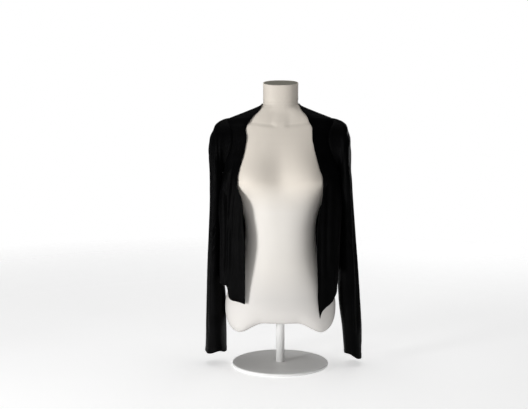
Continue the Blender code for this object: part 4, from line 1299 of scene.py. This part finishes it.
def plain_material(name, tints, rough, grain, strength):
    """Painted or moulded finish with small changes of tint, gloss and surface."""
    material, tree, shader, place = new_material(name)
    clouds = noise(tree, place.outputs["Object"], scale=12.0, detail=4.0)
    fine = noise(tree, place.outputs["Object"], scale=grain, detail=3.0)
    feed(tree, shader, {
        "Base Color": mix_colours(tree, remap(tree, clouds, CLOUDS), *tints),
        "Roughness": remap(tree, fine, CLOUDS, rough),
        "Specular IOR Level": 0.35,
        "Normal": bump(tree, fine, strength, 0.00025)})
    return material


def mixed_shader(tree, factor, first, second, kind):
    """Ends a tree in a mix of two shaders."""
    mixed = add_node(tree, "MixShader", {0: factor, 1: first.outputs[0], 2: second.outputs[0]})
    output = [node for node in tree.nodes if node.type == kind][0]
    tree.links.new(mixed.outputs[0], output.inputs["Surface"])


def floor_material(name):
    """Pale floor that thins out to nothing far from the object."""
    material, tree, shader, place = new_material(name)
    where = place.outputs["Object"]
    grain = noise(tree, where, scale=3.0, detail=3.0)
    feed(tree, shader, {
        "Base Color": mix_colours(tree, remap(tree, grain, CLOUDS), *FLOOR_TINTS),
        "Roughness": 0.9,
        "Specular IOR Level": 0.1,
        "Emission Color": WHITE,
        "Emission Strength": FLOOR_GLOW})
    far = add_node(tree, "VectorMath", {0: where}, operation="LENGTH").outputs["Value"]
    clear = add_node(tree, "BsdfTransparent")
    mixed_shader(tree, remap(tree, far, FLOOR_FADE), shader, clear, "OUTPUT_MATERIAL")
    return material


# ---------------------------------------------------------------- stage
def make_world():
    """Soft light, a little stronger from below; the camera itself sees plain white."""
    world = bpy.data.worlds.new("studio")
    bpy.context.scene.world = world
    world.use_nodes = True
    tree = world.node_tree
    tree.nodes.clear()
    add_node(tree, "OutputWorld")
    split = add_node(tree, "SeparateXYZ", {0: add_node(tree, "TexCoord").outputs["Generated"]})
    path = add_node(tree, "LightPath")
    strength = remap(tree, split.outputs["Z"], (-1.0, 1.0), (AMBIENT_BELOW, AMBIENT_ABOVE))
    shine = remap(tree, path.outputs["Is Glossy Ray"], (0.0, 1.0), (1.0, AMBIENT_SHINE))
    strength = maths(tree, "MULTIPLY", strength, shine)
    soft = add_node(tree, "Background", {"Color": WHITE, "Strength": strength})
    white = add_node(tree, "Background", {"Color": WHITE, "Strength": 1.0})
    mixed_shader(tree, path.outputs["Is Camera Ray"], soft, white, "OUTPUT_WORLD")


def aimed(name, data, place, aim):
    """An object that looks from its place towards a point."""
    thing = bpy.data.objects.new(name, data)
    bpy.context.scene.collection.objects.link(thing)
    thing.location = place
    thing.rotation_mode = "QUATERNION"
    thing.rotation_quaternion = (Vector(aim) - Vector(place)).to_track_quat("-Z", "Y")
    return thing


def area_light(name, place, aim, width, height, power):
    data = bpy.data.lights.new(name, "AREA")
    data.shape = "RECTANGLE"
    data.size = width
    data.size_y = height
    data.energy = power
    aimed(name, data, place, aim)


def make_floor(material):
    turn = circle(TURN_ROUND)
    vertices = [(0.0, 0.0, FLOOR_LEVEL)]
    for reach in FLOOR_REACHES:
        vertices += [(reach * math.cos(t), reach * math.sin(t), FLOOR_LEVEL) for t in turn]
    faces = []
    for k in range(1, TURN_ROUND + 1):
        n = k % TURN_ROUND + 1
        faces.append((0, k, n))
        for a in range(0, (len(FLOOR_REACHES) - 1) * TURN_ROUND, TURN_ROUND):
            faces.append((a + k, a + TURN_ROUND + k, a + TURN_ROUND + n, a + n))
    new_object("studio_floor", vertices, faces, material, smooth=False)


def make_camera():
    data = bpy.data.cameras.new("camera")
    data.sensor_width = 36.0
    data.lens = CAMERA_LENS
    bpy.context.scene.camera = aimed("camera", data, CAMERA_PLACE, CAMERA_AIM)


# ---------------------------------------------------------------- building
def place_piece(piece, node):
    if node:
        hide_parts(node)
    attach(piece, "root")


make_camera()
make_world()
make_floor(floor_material("floor_pale"))
for light in LIGHTS:
    area_light(*light)

knit = knit_material("knit_black", KNIT_DARK, KNIT_LIGHT)
thread = knit_material("thread_black", KNIT_DARK, KNIT_LIGHT, with_uv=False)
cream = form_material("form_cream")
grey = plain_material("cap_grey", CAP_TINTS, (0.50, 0.68), grain=600.0, strength=0.25)
pale = plain_material("stand_pale", STAND_TINTS, (0.34, 0.46), grain=350.0, strength=0.08)

back, lines, back_edges = back_piece("knit_back", BACK_CREASES, BACK_LOOK, knit)
cloth = [(back, "cardigan_back", lines, BACK_CUT, "draped")]
front_edges = []
for name, node, cut, *lie in FRONTS:
    piece, lines, edges = front_piece(name, *lie, knit)
    cloth.append((piece, node, lines, cut, "draped"))
    front_edges.append(edges[-1])
for (name, node, cut, side, *lie), front, rear in zip(SLEEVES, front_edges, back_edges):
    piece, lines = sleeve_piece(name, side, front, rear, *lie, knit)
    cloth.append((piece, node, lines, cut, "hung"))

for piece, node, lines, (flat, area), held in cloth:
    place_piece(piece, node)
    stitches = stitching(piece.name.replace("knit_", "stitches_"), lines, thread)
    place_piece(stitches, None)

place_piece(form_piece("form_shell", cream), "dress_form")
place_piece(turned_piece("neck_disc", cap_profile(), grey, NECK_TILT), "neck_cap")
place_piece(turned_piece("stand_plate", base_profile(), pale), "stand_base")
place_piece(turned_piece("stand_tube", post_profile(), pale), "stand_post")

bpy.context.scene.view_settings.view_transform = "Standard"
